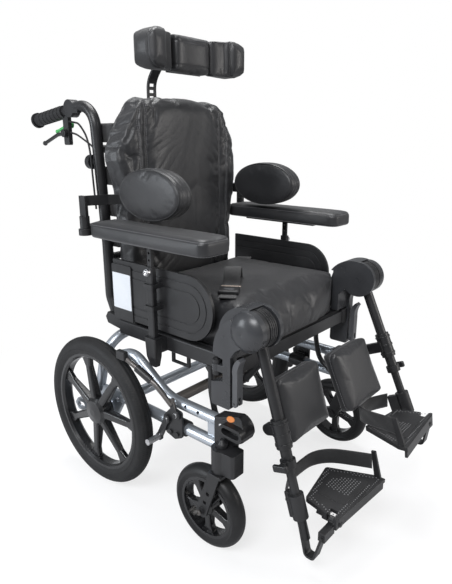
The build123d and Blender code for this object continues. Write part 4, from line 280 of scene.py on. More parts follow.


# In moulded() calls the seventh value is the lighter edge colour: a painted edge highlight, broken up like
# wear.
M = {
    "silver": tube_paint(),
    "black_coat": moulded("black_powder_coat", (0.012, 0.012, 0.013), (0.03, 0.03, 0.032), 0.36, 1300.0,
                          0.00008, (0.09, 0.09, 0.09)),
    "brown_coat": moulded("grey_brown_coat", (0.115, 0.105, 0.098), (0.17, 0.155, 0.145), 0.42, 900.0,
                          0.0001, (0.3, 0.28, 0.26), 0.3),
    "steel": bare_metal("zinc_steel", (0.62, 0.62, 0.63), 0.26),
    "black_plastic": moulded("black_plastic", (0.014, 0.014, 0.015), (0.034, 0.034, 0.036), 0.40, 1100.0,
                             0.0001, (0.07, 0.07, 0.07)),
    "grey_plastic": moulded("grey_plastic", (0.07, 0.072, 0.078), (0.12, 0.122, 0.13), 0.34, 1000.0, 0.0001,
                            (0.25, 0.25, 0.27)),
    "green_plastic": moulded("green_plastic", (0.06, 0.42, 0.10), (0.12, 0.52, 0.17), 0.34, 1000.0, 0.0001,
                             (0.3, 0.7, 0.34)),
    "orange_plastic": moulded("orange_plastic", (0.72, 0.24, 0.06), (0.8, 0.33, 0.12), 0.38, 1000.0, 0.0001,
                              (0.9, 0.5, 0.25)),
    "wheel_gloss": moulded("wheel_gloss", (0.008, 0.008, 0.009), (0.016, 0.016, 0.017), 0.24, 1300.0, 0.00004,
                           (0.06, 0.06, 0.06), Coat_Weight=0.3, Coat_Roughness=0.15),
    "castor_tyre": rubber("castor_rubber", (0.010, 0.010, 0.0105), (0.018, 0.018, 0.019), 0.40,
                          (0.03, 0.03, 0.03)),
    "lever_metal": moulded("lever_metal", (0.13, 0.12, 0.115), (0.2, 0.19, 0.18), 0.34, 800.0, 0.00008,
                           (0.4, 0.38, 0.36), 0.7),
    "stud": moulded("grip_stud", (0.16, 0.16, 0.165), (0.22, 0.22, 0.225), 0.4, 900.0, 0.00005),
    "dark_gloss": moulded("knee_plastic", (0.03, 0.031, 0.034), (0.06, 0.062, 0.067), 0.26, 1200.0, 0.00005,
                          (0.2, 0.2, 0.21)),
    "vinyl": vinyl("upholstery_vinyl", (0.020, 0.0205, 0.0225), (0.034, 0.0335, 0.035)),
    "vinyl_side": vinyl("gusset_vinyl", (0.012, 0.012, 0.013), (0.024, 0.024, 0.026), 0.42),
    "webbing": webbing("belt_webbing", (0.012, 0.012, 0.013), (0.035, 0.035, 0.036), "Y"),
    "strap": webbing("strap_webbing", (0.012, 0.012, 0.013), (0.035, 0.035, 0.036), "Z"),
    "tyre": rubber("tyre_rubber", (0.010, 0.010, 0.0105), (0.02, 0.02, 0.021), 0.55, (0.04, 0.039, 0.037)),
    "rubber": rubber("grip_rubber", (0.013, 0.013, 0.014), (0.026, 0.026, 0.027), 0.55, (0.04, 0.04, 0.04)),
    "thread": rubber("stitch_thread", (0.20, 0.20, 0.21), (0.30, 0.30, 0.31), 0.7, (0.34, 0.34, 0.35)),
    "dark_thread": rubber("dark_thread", (0.05, 0.05, 0.052), (0.09, 0.09, 0.095), 0.7, (0.1, 0.1, 0.1)),
    "card": moulded("blank_card", (0.72, 0.75, 0.79), (0.80, 0.82, 0.85), 0.45, 600.0, 0.00004,
                    (0.85, 0.86, 0.88)),
    "beige": moulded("beige_slider", (0.42, 0.34, 0.28), (0.52, 0.44, 0.37), 0.4, 900.0, 0.0001,
                     (0.6, 0.52, 0.45)),
}


# ---------------------------------------------------------------------------
# mesh helpers
# ---------------------------------------------------------------------------

def new_object(name, mesh, material):
    obj = bpy.data.objects.new(name, mesh)
    scene.collection.objects.link(obj)
    mesh.materials.clear()
    mesh.materials.append(M[material])
    return obj


def piece(name, verts, faces, material, body, smooth=True, angle=None):
    """A mesh piece on a body."""
    mesh = bpy.data.meshes.new(name)
    mesh.from_pydata([tuple(v) for v in verts], [], faces)
    mesh.validate()
    obj = new_object(name, mesh, material)
    if smooth:
        mesh.shade_smooth()
    if angle:
        mesh.set_sharp_from_angle(angle=math.radians(angle))
    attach(obj, body)
    return obj


def evaluated(obj):
    """The object's mesh with its modifiers applied."""
    bpy.context.view_layer.update()
    graph = bpy.context.evaluated_depsgraph_get()
    return bpy.data.meshes.new_from_object(obj.evaluated_get(graph), depsgraph=graph)


def apply_all(obj):
    mesh = evaluated(obj)
    materials = list(obj.data.materials)
    obj.modifiers.clear()
    obj.data = mesh
    mesh.materials.clear()
    for material in materials:
        mesh.materials.append(material)
    return obj


def coords(mesh):
    co = np.empty(len(mesh.vertices) * 3)
    mesh.vertices.foreach_get("co", co)
    return co.reshape(-1, 3)


def normals(mesh):
    no = np.empty(len(mesh.vertices) * 3)
    mesh.vertices.foreach_get("normal", no)
    return no.reshape(-1, 3)


def set_coords(mesh, co):
    mesh.vertices.foreach_set("co", np.asarray(co, float).ravel())
    mesh.update()


def frames_along(points, closed=False):
    """Tangent, and a steady pair of side vectors, at each point of a path."""
    pts = [Vector(p) for p in points]
    count = len(pts)
    tangents = []
    for i in range(count):
        before = pts[(i - 1) % count] if closed or i else pts[0]
        after = pts[(i + 1) % count] if closed or i < count - 1 else pts[-1]
        tangents.append((after - before).normalized())
    side = tangents[0].orthogonal().normalized()
    result = []
    for tangent in tangents:
        side = (side - tangent * side.dot(tangent)).normalized()
        result.append((tangent, side, tangent.cross(side)))
    return pts, result


def tube(points, radius, sides=8, closed=False):
    """Vertices and faces of a round tube along points."""
    pts, frames = frames_along(points, closed)
    verts = []
    for p, (_, u, v) in zip(pts, frames):
        for k in range(sides):
            a = 2 * math.pi * k / sides
            verts.append(p + u * math.cos(a) * radius + v * math.sin(a) * radius)
    faces = []
    count = len(pts)
    for i in range(count if closed else count - 1):
        for k in range(sides):
            j = (k + 1) % sides
            m = (i + 1) % count
            faces.append((i * sides + k, i * sides + j, m * sides + j, m * sides + k))
    if not closed:
        faces.append(tuple(range(sides - 1, -1, -1)))
        faces.append(tuple((count - 1) * sides + k for k in range(sides)))
    return verts, faces


def resample(points, step, closed=False):
    """Points at an even spacing along a polyline."""
    pts = [np.array(p, float) for p in points]
    if closed:
        pts.append(pts[0])
    lengths = [0.0]
    for a, b in zip(pts, pts[1:]):
        lengths.append(lengths[-1] + float(np.linalg.norm(b - a)))
    total = lengths[-1]
    count = max(2, int(round(total / step)))
    marks = np.linspace(0, total, count + 1)
    if closed:
        marks = marks[:-1]
    pts = np.array(pts)
    return np.stack([np.interp(marks, lengths, pts[:, k]) for k in range(3)], 1)


def smooth_path(points, rounds=3, closed=False):
    co = np.array(points, float)
    for _ in range(rounds):
        if closed:
            co = (np.roll(co, 1, 0) + co * 2 + np.roll(co, -1, 0)) / 4
        else:
            co[1:-1] = (co[:-2] + co[1:-1] * 2 + co[2:]) / 4
    return co


def surface(obj):
    return BVHTree.FromPolygons([v.co for v in obj.data.vertices],
                                [tuple(p.vertices) for p in obj.data.polygons])


def on_surface(tree, points, toward):
    """Where rays along a direction meet the surface: points and normals."""
    hits = []
    facing = []
    for p in points:
        place, normal, _, _ = tree.ray_cast(Vector(p), Vector(toward))
        if place is not None:
            hits.append(np.array(place))
            facing.append(np.array(normal))
    return hits, facing


def stitch_mesh(points, facing, step, length, radius, lift=0.0002):
    """A run of small capsules along a path that lies on a surface."""
    path = resample(points, step)
    tree = np.array(points)
    verts = []
    faces = []
    for i in range(len(path) - 1):
        a, b = path[i], path[i + 1]
        middle = (a + b) / 2
        way = (b - a) / max(np.linalg.norm(b - a), 1e-9)
        up = facing[int(np.argmin(((tree - middle) ** 2).sum(1)))]
        up = up - way * up.dot(way)
        up = up / max(np.linalg.norm(up), 1e-9)
        side = np.cross(way, up)
        base = len(verts)
        rings = ((-0.5, 0.35), (-0.3, 1.0), (0.3, 1.0), (0.5, 0.35))
        for t, r in rings:
            for k in range(6):
                angle = math.pi * k / 3
                verts.append(middle + way * t * length + up * lift
                             + (side * math.cos(angle) + up * math.sin(angle)) * radius * r)
        for row in range(3):
            for k in range(6):
                j = (k + 1) % 6
                faces.append((base + row * 6 + k, base + row * 6 + j, base + row * 6 + 6 + j,
                              base + row * 6 + 6 + k))
        faces.append(tuple(base + k for k in range(5, -1, -1)))
        faces.append(tuple(base + 18 + k for k in range(6)))
    return verts, faces


def stitches(name, points, facing, body, thread="thread", step=0.0058, length=0.004, radius=0.00055):
    verts, faces = stitch_mesh(points, facing, step, length, radius)
    return piece(name, verts, faces, thread, body)


def cut_loops(obj, at, normal):
    """Closed loops where a plane crosses a mesh, each in order."""
    bm = bmesh.new()
    bm.from_mesh(obj.data)
    found = bmesh.ops.bisect_plane(bm, geom=bm.verts[:] + bm.edges[:] + bm.faces[:],
                                   plane_co=Vector(at), plane_no=Vector(normal))
    edges = [g for g in found["geom_cut"] if isinstance(g, bmesh.types.BMEdge)]
    near = {}
    for e in edges:
        a, b = e.verts
        near.setdefault(a, []).append(b)
        near.setdefault(b, []).append(a)
    loops = []
    left = set(near)
    while left:
        start = min(left, key=lambda v: tuple(round(c, 6) for c in v.co))
        loop = [start]
        left.discard(start)
        here = start
        while True:
            following = [v for v in near[here] if v in left]
            if not following:
                break
            here = following[0]
            left.discard(here)
            loop.append(here)
        if len(loop) > 8:
            loops.append([np.array(v.co) for v in loop])
    bm.free()
    loops.sort(key=len, reverse=True)
    return loops


def loop_facing(obj, loop):
    """Surface normals of a mesh nearest to each point of a loop."""
    tree = surface(obj)
    return [np.array(tree.find_nearest(Vector(p))[1]) for p in loop]


def welt(name, obj, loop, radius, material, body, lift=0.0, closed=True):
    """Piping that follows a loop on the surface of a pad."""
    facing = loop_facing(obj, loop)
    lifted = [p + f * lift for p, f in zip(loop, facing)]
    path = smooth_path(resample(lifted, 0.005, closed), 3, closed)
    verts, faces = tube(path, radius, 8, closed)
    return piece(name, verts, faces, material, body)


# ---------------------------------------------------------------------------
# padded pieces
# ---------------------------------------------------------------------------

PADS = []


def cut_mesh(mesh, planes, weld=True):
    """Keep what lies behind every plane, closed over each cut."""
    bm = bmesh.new()
    bm.from_mesh(mesh)
    if weld:
        bmesh.ops.remove_doubles(bm, verts=bm.verts[:], dist=2e-6)
    for at, normal in planes:
        cut = bmesh.ops.bisect_plane(bm, geom=bm.verts[:] + bm.edges[:] + bm.faces[:], plane_co=Vector(at),
                                     plane_no=Vector(normal), clear_outer=True)
        rim = [g for g in cut["geom_cut"] if isinstance(g, bmesh.types.BMEdge)]
        if rim:
            bmesh.ops.edgeloop_fill(bm, edges=rim)
    bm.to_mesh(mesh)
    bm.free()


def start_pad(node, name, body, voxel, pressure, cap, hold, grow=0.0, fill=0.7, material="vinyl",
              shrink=0.0, bend=0.5, planes=()):
    """Copy a CAD pad, remesh it and set up its cloth; settle_pads() runs them together.
    hold(position, normal) is how firmly a point is held, from 0 to 1, and the planes cut off
    the hard parts that the cover leaves out."""
    source = NODES[node]
    obj = new_object(name, source.data.copy(), material)
    if planes:
        cut_mesh(obj.data, planes)
    remesh = obj.modifiers.new("remesh", "REMESH")
    remesh.mode = "VOXEL"
    remesh.voxel_size = voxel
    apply_all(obj)
    relax = obj.modifiers.new("relax", "SMOOTH")
    relax.factor = 0.5
    relax.iterations = 2
    apply_all(obj)
    rest = coords(obj.data)
    facing = normals(obj.data)
    if shrink:
        rest = rest - facing * shrink
        set_coords(obj.data, rest)
    group = obj.vertex_groups.new(name="hold")
    firmness = np.array([hold(p, n) for p, n in zip(rest, facing)])
    for level in sorted(set(np.round(firmness, 2))):
        if level > 0:
            chosen = np.nonzero(np.round(firmness, 2) == level)[0].tolist()
            group.add(chosen, float(level), "REPLACE")
    PADS.append({"obj": obj, "node": node, "body": body, "rest": rest, "cap": cap, "fill": fill})
    cloth = obj.modifiers.new("cloth", "CLOTH")
    settings = cloth.settings
    settings.quality = 4
    settings.mass = 0.2
    settings.tension_stiffness = 12
    settings.compression_stiffness = 12
    settings.shear_stiffness = 6
    settings.bending_stiffness = bend
    settings.air_damping = 2
    settings.use_pressure = True
    settings.uniform_pressure_force = pressure
    settings.shrink_min = -grow
    settings.vertex_group_mass = "hold"
    settings.pin_stiffness = 1.0
    settings.effector_weights.gravity = 0
    cloth.point_cache.frame_start = 1
    cloth.point_cache.frame_end = 20
    return obj


def settle_pads(frames=20):
    """Run every pad's cloth, cap how far its points move, and make the result its mesh."""
    for number in range(1, frames + 1):
        scene.frame_set(number)
    graph = bpy.context.evaluated_depsgraph_get()
    moved = {}
    for pad in PADS:
        mesh = bpy.data.meshes.new_from_object(pad["obj"].evaluated_get(graph), depsgraph=graph)
        moved[pad["obj"].name] = coords(mesh)
    for pad in PADS:
        obj = pad["obj"]
        obj.modifiers.clear()
        step = moved[obj.name] - pad["rest"]
        size = np.linalg.norm(step, axis=1, keepdims=True)
        limit = pad["cap"] * np.tanh(size / pad["cap"]) / np.maximum(size, 1e-9)
        set_coords(obj.data, pad["rest"] + step * limit)
    scene.frame_set(1)
    for pad in PADS:
        obj = pad["obj"]
        obj.vertex_groups.clear()
        subdivide = obj.modifiers.new("subdivide", "SUBSURF")
        subdivide.levels = 1
        subdivide.render_levels = 1
        apply_all(obj)
        obj.data.shade_smooth()
        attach(obj, pad["body"])
        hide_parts(pad["node"])


def shape(obj, move):
    """Move each point by move(positions, normals), an array of the same size."""
    co = coords(obj.data)
    set_coords(obj.data, co + move(co, normals(obj.data)))


def groove(distance, depth, width):
    """How far in a seam pulls a surface, from the distance to the seam."""
    return depth * np.exp(-(distance / width) ** 2)


# ---------------------------------------------------------------------------
# CAD nodes that stay, with their materials
# ---------------------------------------------------------------------------

KEEP = {
    "side_frame": "silver", "axle_frame": "silver", "cross_tube": "brown_coat",
    "chassis_castings": "black_coat",
    "tilt_cylinder": "black_coat", "tilt_rod": "steel", "seat_frame": "black_coat",
    "back_frame": "black_coat",
    "rear_rim": "wheel_gloss", "rear_tyre": "tyre", "castor_fork": "black_coat",
    "castor_wheel": "wheel_gloss",
    "brake_lever": "black_coat", "brake_shoe": "black_coat", "side_panel": "black_plastic",
    "armrest_post": "black_coat", "headrest_arm": "black_coat", "push_handle": "black_coat",
    "hand_brake_lever": "black_coat", "tilt_hand_lever": "green_plastic",
    "recline_hand_lever": "grey_plastic",
    "lateral_arm": "black_coat", "legrest_hanger": "dark_gloss", "release_lever": "grey_plastic",
    "leg_tube": "black_coat", "foot_tube": "black_coat", "footplate": "black_plastic",
    "armrest_pad": "vinyl", "seat_cushion": "vinyl", "back_cushion": "vinyl", "headrest_pad": "vinyl",
    "headrest_wing": "vinyl", "lateral_pad": "vinyl", "calf_pad": "vinyl", "hip_belt": "webbing",
    "back_straps": "strap", "heel_strap": "strap", "control_cables": "rubber",
}
for node_name, node in NODES.items():
    family = node_name
    for side_name in SIDES:
        family = family.removesuffix("_" + side_name)
    node.data.materials.clear()
    node.data.materials.append(M[KEEP[family]])
    node.data.shade_smooth()
    node.data.set_sharp_from_angle(angle=math.radians(35))


def paint(node_name, material, chosen):
    """Give the faces of a CAD node whose centres are chosen another material."""
    mesh = NODES[node_name].data
    mesh.materials.append(M[material])
    number = len(mesh.materials) - 1
    for face in mesh.polygons:
        if chosen(face.center):
            face.material_index = number


def beside_line(p, a, b, radius):
    """Whether a point lies within a radius of the line between two points."""
    a, b = Vector(a), Vector(b)
    way = b - a
    share = (p - a).dot(way) / way.length_squared
    return 0 < share < 1 and (p - a - way * share).length < radius


def near(p, y, z, radius):
    """Whether a point lies within a radius of an axis that runs along X."""
    return math.hypot(p.y - y, p.z - z) < radius


CASTOR_Y = AXLE_Y - 392 * MM
CASTOR_Z = 100 * MM
BRAKE_X = 277 * MM
BRAKE_Y = AXLE_Y - 282 * MM
BRAKE_Z = 284 * MM
SHOE_Y = AXLE_Y - 221 * MM
SHOE_Z = 205 * MM
GRIP_Y = AXLE_Y + 202 * MM
POST_Y = AXLE_Y - 195 * MM
POST_BOLT_Z = 610 * MM


def brake_sleeve(side):
    """The ends of the grip sleeve on a brake lever."""
    low = Vector((side * (BRAKE_X + 15 * MM), BRAKE_Y + 54 * MM, BRAKE_Z + 64 * MM))
    high = Vector((side * (BRAKE_X + 28 * MM), BRAKE_Y + 122 * MM, BRAKE_Z + 102 * MM))
    return low.lerp(high, 0.195), low.lerp(high, 0.805)


def paint_nodes():
    """Rubber, bright metal and plastic where one CAD node holds several of them."""
    for side_name, side in SIDES.items():
        paint(f"castor_wheel_{side_name}", "castor_tyre", lambda p: not near(p, CASTOR_Y, CASTOR_Z, 0.0743))
        a, b = brake_sleeve(side)
        paint(f"brake_lever_{side_name}", "lever_metal", lambda p: p.z > BRAKE_Z + 24 * MM)
        paint(f"brake_lever_{side_name}", "black_plastic",
              lambda p: beside_line(p, a, b, 0.012) or p.z > BRAKE_Z + 106 * MM and p.y > BRAKE_Y + 135 * MM)
        paint(f"brake_shoe_{side_name}", "steel",
              lambda p: near(p, SHOE_Y, SHOE_Z, 0.0078) and abs(p.x) > BRAKE_X + 6.6 * MM)
        paint(f"push_handle_{side_name}", "rubber",
              lambda p: p.y > GRIP_Y + 6.6 * MM or p.y > GRIP_Y - 1 * MM and p.z > 0.9605)
        paint(f"push_handle_{side_name}", "black_plastic", lambda p: p.y < GRIP_Y + 6.5 * MM and p.z < 0.9595)
    paint("seat_frame", "steel", lambda p: abs(p.x) > 0.2727 and near(p, POST_Y, POST_BOLT_Z, 0.0082))


paint_nodes()


# ---------------------------------------------------------------------------
# cushions and pads
# ---------------------------------------------------------------------------

def hold_under(p, n):
    """Flat underneath, where a pad rests on something."""
    return 1.0 if n[2] < -0.7 else 0.0


def hold_behind(p, n):
    return 1.0 if n[1] > 0.6 else 0.0


back = start_pad("back_cushion", "back_cushion_cover", "back", 0.0055, 2.2, 0.012,
                 lambda p, n: 1.0 if n[1] > 0.6 or abs(abs(p[0]) - 0.137) < 0.004 and n[1] < -0.5 else 0.0,
                 grow=0.05, fill=0.75, bend=0.15)
start_pad("seat_cushion", "seat_cushion_cover", "seat", 0.0055, 2.5, 0.008,
                 lambda p, n: 1.0 if n[2] < -0.6 else 0.0, grow=0.02, fill=0.85, bend=0.4)
REST_REAR_Y = AXLE_Y - 46 * MM
REST_HALF_W = 62 * MM
head = start_pad("headrest_pad", "headrest_pad_cover", "head_pad", 0.004, 2.0, 0.004, hold_behind,
                 fill=0.85, shrink=0.001,
                 planes=[((0, REST_REAR_Y - 1.2 * MM, 0), (0, 1, 0)),
                         ((REST_HALF_W + 0.3 * MM, 0, 0), (1, 0, 0)),
                         ((-REST_HALF_W - 0.3 * MM, 0, 0), (-1, 0, 0))])


def headrest_plate():
    """Back plate, ears and pins of the headrest, as they stand in the CAD."""
    mesh = NODES["headrest_pad"].data.copy()
    bm = bmesh.new()
    bm.from_mesh(mesh)
    soft = [f for f in bm.faces if f.calc_center_median().y < REST_REAR_Y - 1.05 * MM
            and abs(f.calc_center_median().x) < REST_HALF_W + 0.2 * MM]
    bmesh.ops.delete(bm, geom=soft, context="FACES")
    bm.to_mesh(mesh)
    bm.free()
    obj = new_object("headrest_plate", mesh, "black_coat")
    mesh.set_sharp_from_angle(angle=math.radians(35))
    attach(obj, "head_pad")
    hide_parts("headrest_pad")


headrest_plate()
for side_name, side in SIDES.items():
    start_pad(f"headrest_wing_{side_name}", f"headrest_wing_cover_{side_name}", f"wing_{side_name}", 0.004,
              2.0, 0.004, lambda p, n: 0.0, fill=0.85, shrink=0.001)
    start_pad(f"lateral_pad_{side_name}", f"trunk_pad_cover_{side_name}", f"trunk_{side_name}", 0.004,
              2.0, 0.004, lambda p, n: 0.0, fill=0.85, shrink=0.001)
    start_pad(f"armrest_pad_{side_name}", f"armrest_pad_cover_{side_name}", f"armrest_{side_name}", 0.005,
              1.5, 0.002, hold_under, fill=0.9, shrink=0.0005)
    start_pad(f"calf_pad_{side_name}", f"calf_pad_cover_{side_name}", f"calf_{side_name}", 0.004,
              1.5, 0.003, lambda p, n: 0.0, fill=0.85, shrink=0.0008)
settle_pads()


# ---------------------------------------------------------------------------
# straps and webbing
# ---------------------------------------------------------------------------

def curve_points(points, order=3, resolution=24):
    """Points along the NURBS line that has these points as its control points."""
    curve = bpy.data.curves.new("route", "CURVE")
    curve.dimensions = "3D"
    curve.resolution_u = resolution
    spline = curve.splines.new("NURBS")
    spline.points.add(len(points) - 1)
    for target, p in zip(spline.points, points):
        target.co = (*p, 1)
    spline.order_u = order
    spline.use_endpoint_u = True
    obj = bpy.data.objects.new("route", curve)
    scene.collection.objects.link(obj)
    bpy.context.view_layer.update()
    graph = bpy.context.evaluated_depsgraph_get()
    mesh = bpy.data.meshes.new_from_object(obj.evaluated_get(graph), depsgraph=graph)
    found = [np.array(v.co) for v in mesh.vertices]
    bpy.data.objects.remove(obj)
    return found


def strap_mesh(points, ups, width, thickness, closed=False, ripple=0.0, columns=9):
    """A flat band with rounded selvedges; ups give the width direction at each point."""
    count = len(points)
    verts = []
    half = thickness / 2
    profile = []
    for k in range(columns):
        t = -1 + 2 * k / (columns - 1)
        profile.append((t * width / 2, half * (1 if abs(t) < 0.99 else 0.35)))
    for k in range(columns - 1, -1, -1):
        t = -1 + 2 * k / (columns - 1)
        profile.append((t * width / 2, -half * (1 if abs(t) < 0.99 else 0.35)))
    for i in range(count):
        before = points[(i - 1) % count] if closed or i else points[0]
        after = points[(i + 1) % count] if closed or i < count - 1 else points[-1]
        way = np.array(after) - np.array(before)
        way = way / max(np.linalg.norm(way), 1e-9)
        up = np.array(ups[i]) - way * np.dot(ups[i], way)
        up = up / np.linalg.norm(up)
        out = np.cross(way, up)
        for across, off in profile:
            wave = ripple * math.sin(i * 0.55 + across * 95) * (1 - (2 * across / width) ** 2)
            verts.append(np.array(points[i]) + up * across + out * (off + wave))
    n = len(profile)
    faces = []
    for i in range(count if closed else count - 1):
        m = (i + 1) % count
        for k in range(n):
            j = (k + 1) % n
            faces.append((i * n + k, i * n + j, m * n + j, m * n + k))
    if not closed:
        faces.append(tuple(range(n - 1, -1, -1)))
        faces.append(tuple((count - 1) * n + k for k in range(n)))
    return verts, faces


CANE_X = 205 * MM


def cane_y(z):
    waist = AXLE_Y + 43 * MM
    if z < 640 * MM:
        return waist
    return waist + (z - 640 * MM) / (984 * MM - 640 * MM) * 22 * MM


def tension_bands():
    """Four sewn bands across the canes, a little slack, their ends turned back along the canes."""
    end_x = CANE_X - (14 + 0.3 + 1.5) * MM
    front = AXLE_Y + (14 + 0.3 + 1.5) * MM
    for number, z in enumerate((650, 730, 810, 915)):
        z = z * MM
        rear = cane_y(z) + 8.6 * MM
        path = [(end_x, y, z) for y in np.linspace(rear, front + 0.003, 8)]
        path.append((end_x - 0.0009, front + 0.0009, z))
        for step in range(41):
            x = (end_x - 0.003) * (1 - step / 20)
            sag = 0.0022 * math.cos(math.pi * x / (2 * end_x)) ** 2
            path.append((x, front + sag + 0.0005 * math.sin(x * 90 + number * 2), z))
        path.append((-end_x + 0.0009, front + 0.0009, z))
        path += [(-end_x, y, z) for y in np.linspace(front + 0.003, rear, 8)]
        verts, faces = strap_mesh(path, [(0, 0, 1)] * len(path), 46 * MM, 2.6 * MM, ripple=0.0003)
        band = piece(f"tension_band_{number + 1}", verts, faces, "strap", "back")
        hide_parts("back_straps")


def rounded_box(name, centre, ways, size, radius, material, body):
    """A box with rounded edges along three given directions."""
    bm = bmesh.new()
    bmesh.ops.create_cube(bm, size=1.0)
    for vert in bm.verts:
        vert.co = Vector([c * s for c, s in zip(vert.co, size)])
    bmesh.ops.bevel(bm, geom=bm.edges[:], offset=radius, segments=3, profile=0.5, affect="EDGES")
    x, y, z = [Vector(w).normalized() for w in ways]
    verts = [Vector(centre) + x * v.co.x + y * v.co.y + z * v.co.z for v in bm.verts]
    faces = [tuple(v.index for v in f.verts) for f in bm.faces]
    bm.free()
    return piece(name, verts, faces, material, body, angle=40)


BELT_TOP = 560.3 * MM


def hip_belt():
    """Webbing on the cushion, a hump before the slider, the clasp and its short end."""
    points = [
        (185, -105, 555.9), (150, -128, 559.6), (90, -169.2, 560.6), (40, -203, 560.8), (-40, -257, 560.6),
        (-50, -263, 566), (-62, -271, 596), (-78, -282, 600), (-92, -291, 589), (-103, -299, 566),
        (-112, -305, 562.4), (-126, -315, 562.2),
    ]
    route = [(x * MM, AXLE_Y + y * MM, z * MM + 0.0012) for x, y, z in points]
    path = resample(curve_points(route), 0.004)
    way = Vector((-130, -88, 0)).normalized()
    side = way.cross(Vector((0, 0, 1)))
    up = Vector((0, 0, 1))
    verts, faces = strap_mesh(path, [tuple(side)] * len(path), 42 * MM, 2 * MM, ripple=0.0004)
    belt = piece("hip_belt_webbing", verts, faces, "webbing", "seat")
    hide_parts("hip_belt")
    end = Vector((-137.7 * MM, AXLE_Y - 323.1 * MM, BELT_TOP + 0.0002))
    ways = (way, side, up)
    rounded_box("belt_clasp", end + way * 0.016 + up * 0.006, ways, (0.040, 0.048, 0.0105), 0.003,
                "black_plastic", "seat")
    rounded_box("belt_clasp_button", end + way * 0.020 + up * 0.0115, ways, (0.012, 0.024, 0.0022), 0.0009,
                "grey_plastic", "seat")
    rounded_box("belt_slider", end - way * 0.026 + up * 0.0040, ways, (0.0065, 0.0475, 0.0042), 0.0014,
                "beige", "seat")
    tail = [end + way * t + up * 0.0012 for t in np.linspace(0.036, 0.060, 8)]
    verts, faces = strap_mesh([tuple(p) for p in tail], [tuple(side)] * len(tail), 40 * MM, 2 * MM)
    piece("belt_tail", verts, faces, "webbing", "seat")


# ---------------------------------------------------------------------------
# rear tyres
# ---------------------------------------------------------------------------

def rear_tyre(side_name, side):
    """Round tyre with fine slanted tread cut into its crown."""
    centre = side * 0.296
    crown, shoulder, half, rim_r, base = 0.203, 0.186, 0.022, 0.161, 0.017
    arc_r = (half ** 2 + (crown - shoulder) ** 2) / (2 * (crown - shoulder))
    arc_c = crown - arc_r
    sweep = math.asin(half / arc_r)
    section = [(-base, rim_r), (-half + 0.0015, rim_r + 0.007), (-half, rim_r + 0.010),
               (-half, rim_r + 0.0125), (-half + 0.0007, rim_r + 0.0135), (-half, rim_r + 0.0145),
               (-half, shoulder - 0.003)]
    for k in range(25):
        a = -sweep + 2 * sweep * k / 24
        section.append((arc_r * math.sin(a), arc_c + arc_r * math.cos(a)))
    section += [(half, shoulder - 0.003), (half, rim_r + 0.0145), (half - 0.0007, rim_r + 0.0135),
                (half, rim_r + 0.0125), (half, rim_r + 0.010), (half - 0.0015, rim_r + 0.007),
                (base, rim_r)]
    blocks = 190
    rows = blocks * 4
    verts = []
    for i in range(rows):
        turn = i / rows
        a = 2 * math.pi * turn
        for x, r in section:
            cut = 0.0
            if r > 0.1885:
                lane = abs(x)
                slant = turn * blocks + math.copysign(lane * 210, x) * 0.5
                phase = slant - math.floor(slant)
                if lane < 0.0022:
                    cut = 0.0
                elif abs(lane - 0.0032) < 0.0009 or abs(lane - 0.0125) < 0.0008:
                    cut = 0.0009
                elif phase < 0.34:
                    cut = 0.0008
            verts.append((centre + x, AXLE_Y + (r - cut) * math.sin(a), AXLE_Z + (r - cut) * math.cos(a)))
    n = len(section)
    faces = []
    for i in range(rows):
        m = (i + 1) % rows
        for k in range(n - 1):
            faces.append((i * n + k, i * n + k + 1, m * n + k + 1, m * n + k))
        faces.append((i * n + n - 1, i * n, m * n, m * n + n - 1))
    tyre = piece(f"rear_tyre_tread_{side_name}", verts, faces, "tyre", f"wheel_{side_name}",
                 angle=30)
    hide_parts(f"rear_tyre_{side_name}")


# ---------------------------------------------------------------------------
# feet: places, straps, grip dots
# ---------------------------------------------------------------------------

LEG = {
    "right": {"knee": (AXLE_Y - 468 * MM, 527 * MM), "slope": 17.5, "outer": 300 * MM, "calf": 227 * MM,
              "sleeve": 388 * MM},
    "left": {"knee": (AXLE_Y - 478 * MM, 549 * MM), "slope": 25.0, "outer": 260 * MM, "calf": 187 * MM,
             "sleeve": 345 * MM},
}
FOOT_ANGLE = math.radians(17.5)


def leg_matrix(side_name):
    leg = LEG[side_name]
    s = math.radians(leg["slope"])
    y, z = leg["knee"]
    mirror = Matrix.Diagonal((SIDES[side_name], 1, 1, 1))
    rows = ((1, 0, 0, 0), (0, math.cos(s), math.sin(s), y), (0, -math.sin(s), math.cos(s), z), (0, 0, 0, 1))
    return mirror @ Matrix(rows)


def foot_matrix(side_name):
    down = LEG[side_name]["sleeve"] + 7 * MM
    return leg_matrix(side_name) @ Matrix.Translation((0, 0, -down)) @ Matrix.Rotation(FOOT_ANGLE, 4, "X")


def placed(matrix, points):
    return [tuple(matrix @ Vector(p)) for p in points]


def heel_strap(side_name):
    """Webbing behind the heel, from the sleeve's block to the post on the plate."""
    route = [(206, 43.5, 8), (180, 58, 9.3), (150, 70, 11), (112, 67, 16.5), (76, 60, 22.5), (48, 30, 30),
             (32, -14, 35), (17.5, -64, 40)]
    route = [tuple(c * MM for c in p) for p in route]
    path = resample(curve_points(route), 0.006)
    matrix = foot_matrix(side_name)
    verts, faces = strap_mesh(path, [(0, 0, 1)] * len(path), 38 * MM, 2.4 * MM, ripple=0.0009)
    mesh = bpy.data.meshes.new("heel_webbing")
    mesh.from_pydata(placed(matrix, verts), [], faces if SIDES[side_name] > 0 else
                     [tuple(reversed(f)) for f in faces])
    obj = new_object(f"heel_webbing_{side_name}", mesh, "strap")
    mesh.shade_smooth()
    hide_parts(f"heel_strap_{side_name}")
    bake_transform(obj)


PLATE = [(199, -79), (6, -93), (8, -72), (54, 32), (180, 8)]
TRIANGLE = [(150, -66), (40, -74), (52, -30), (84, 8), (150, -4)]


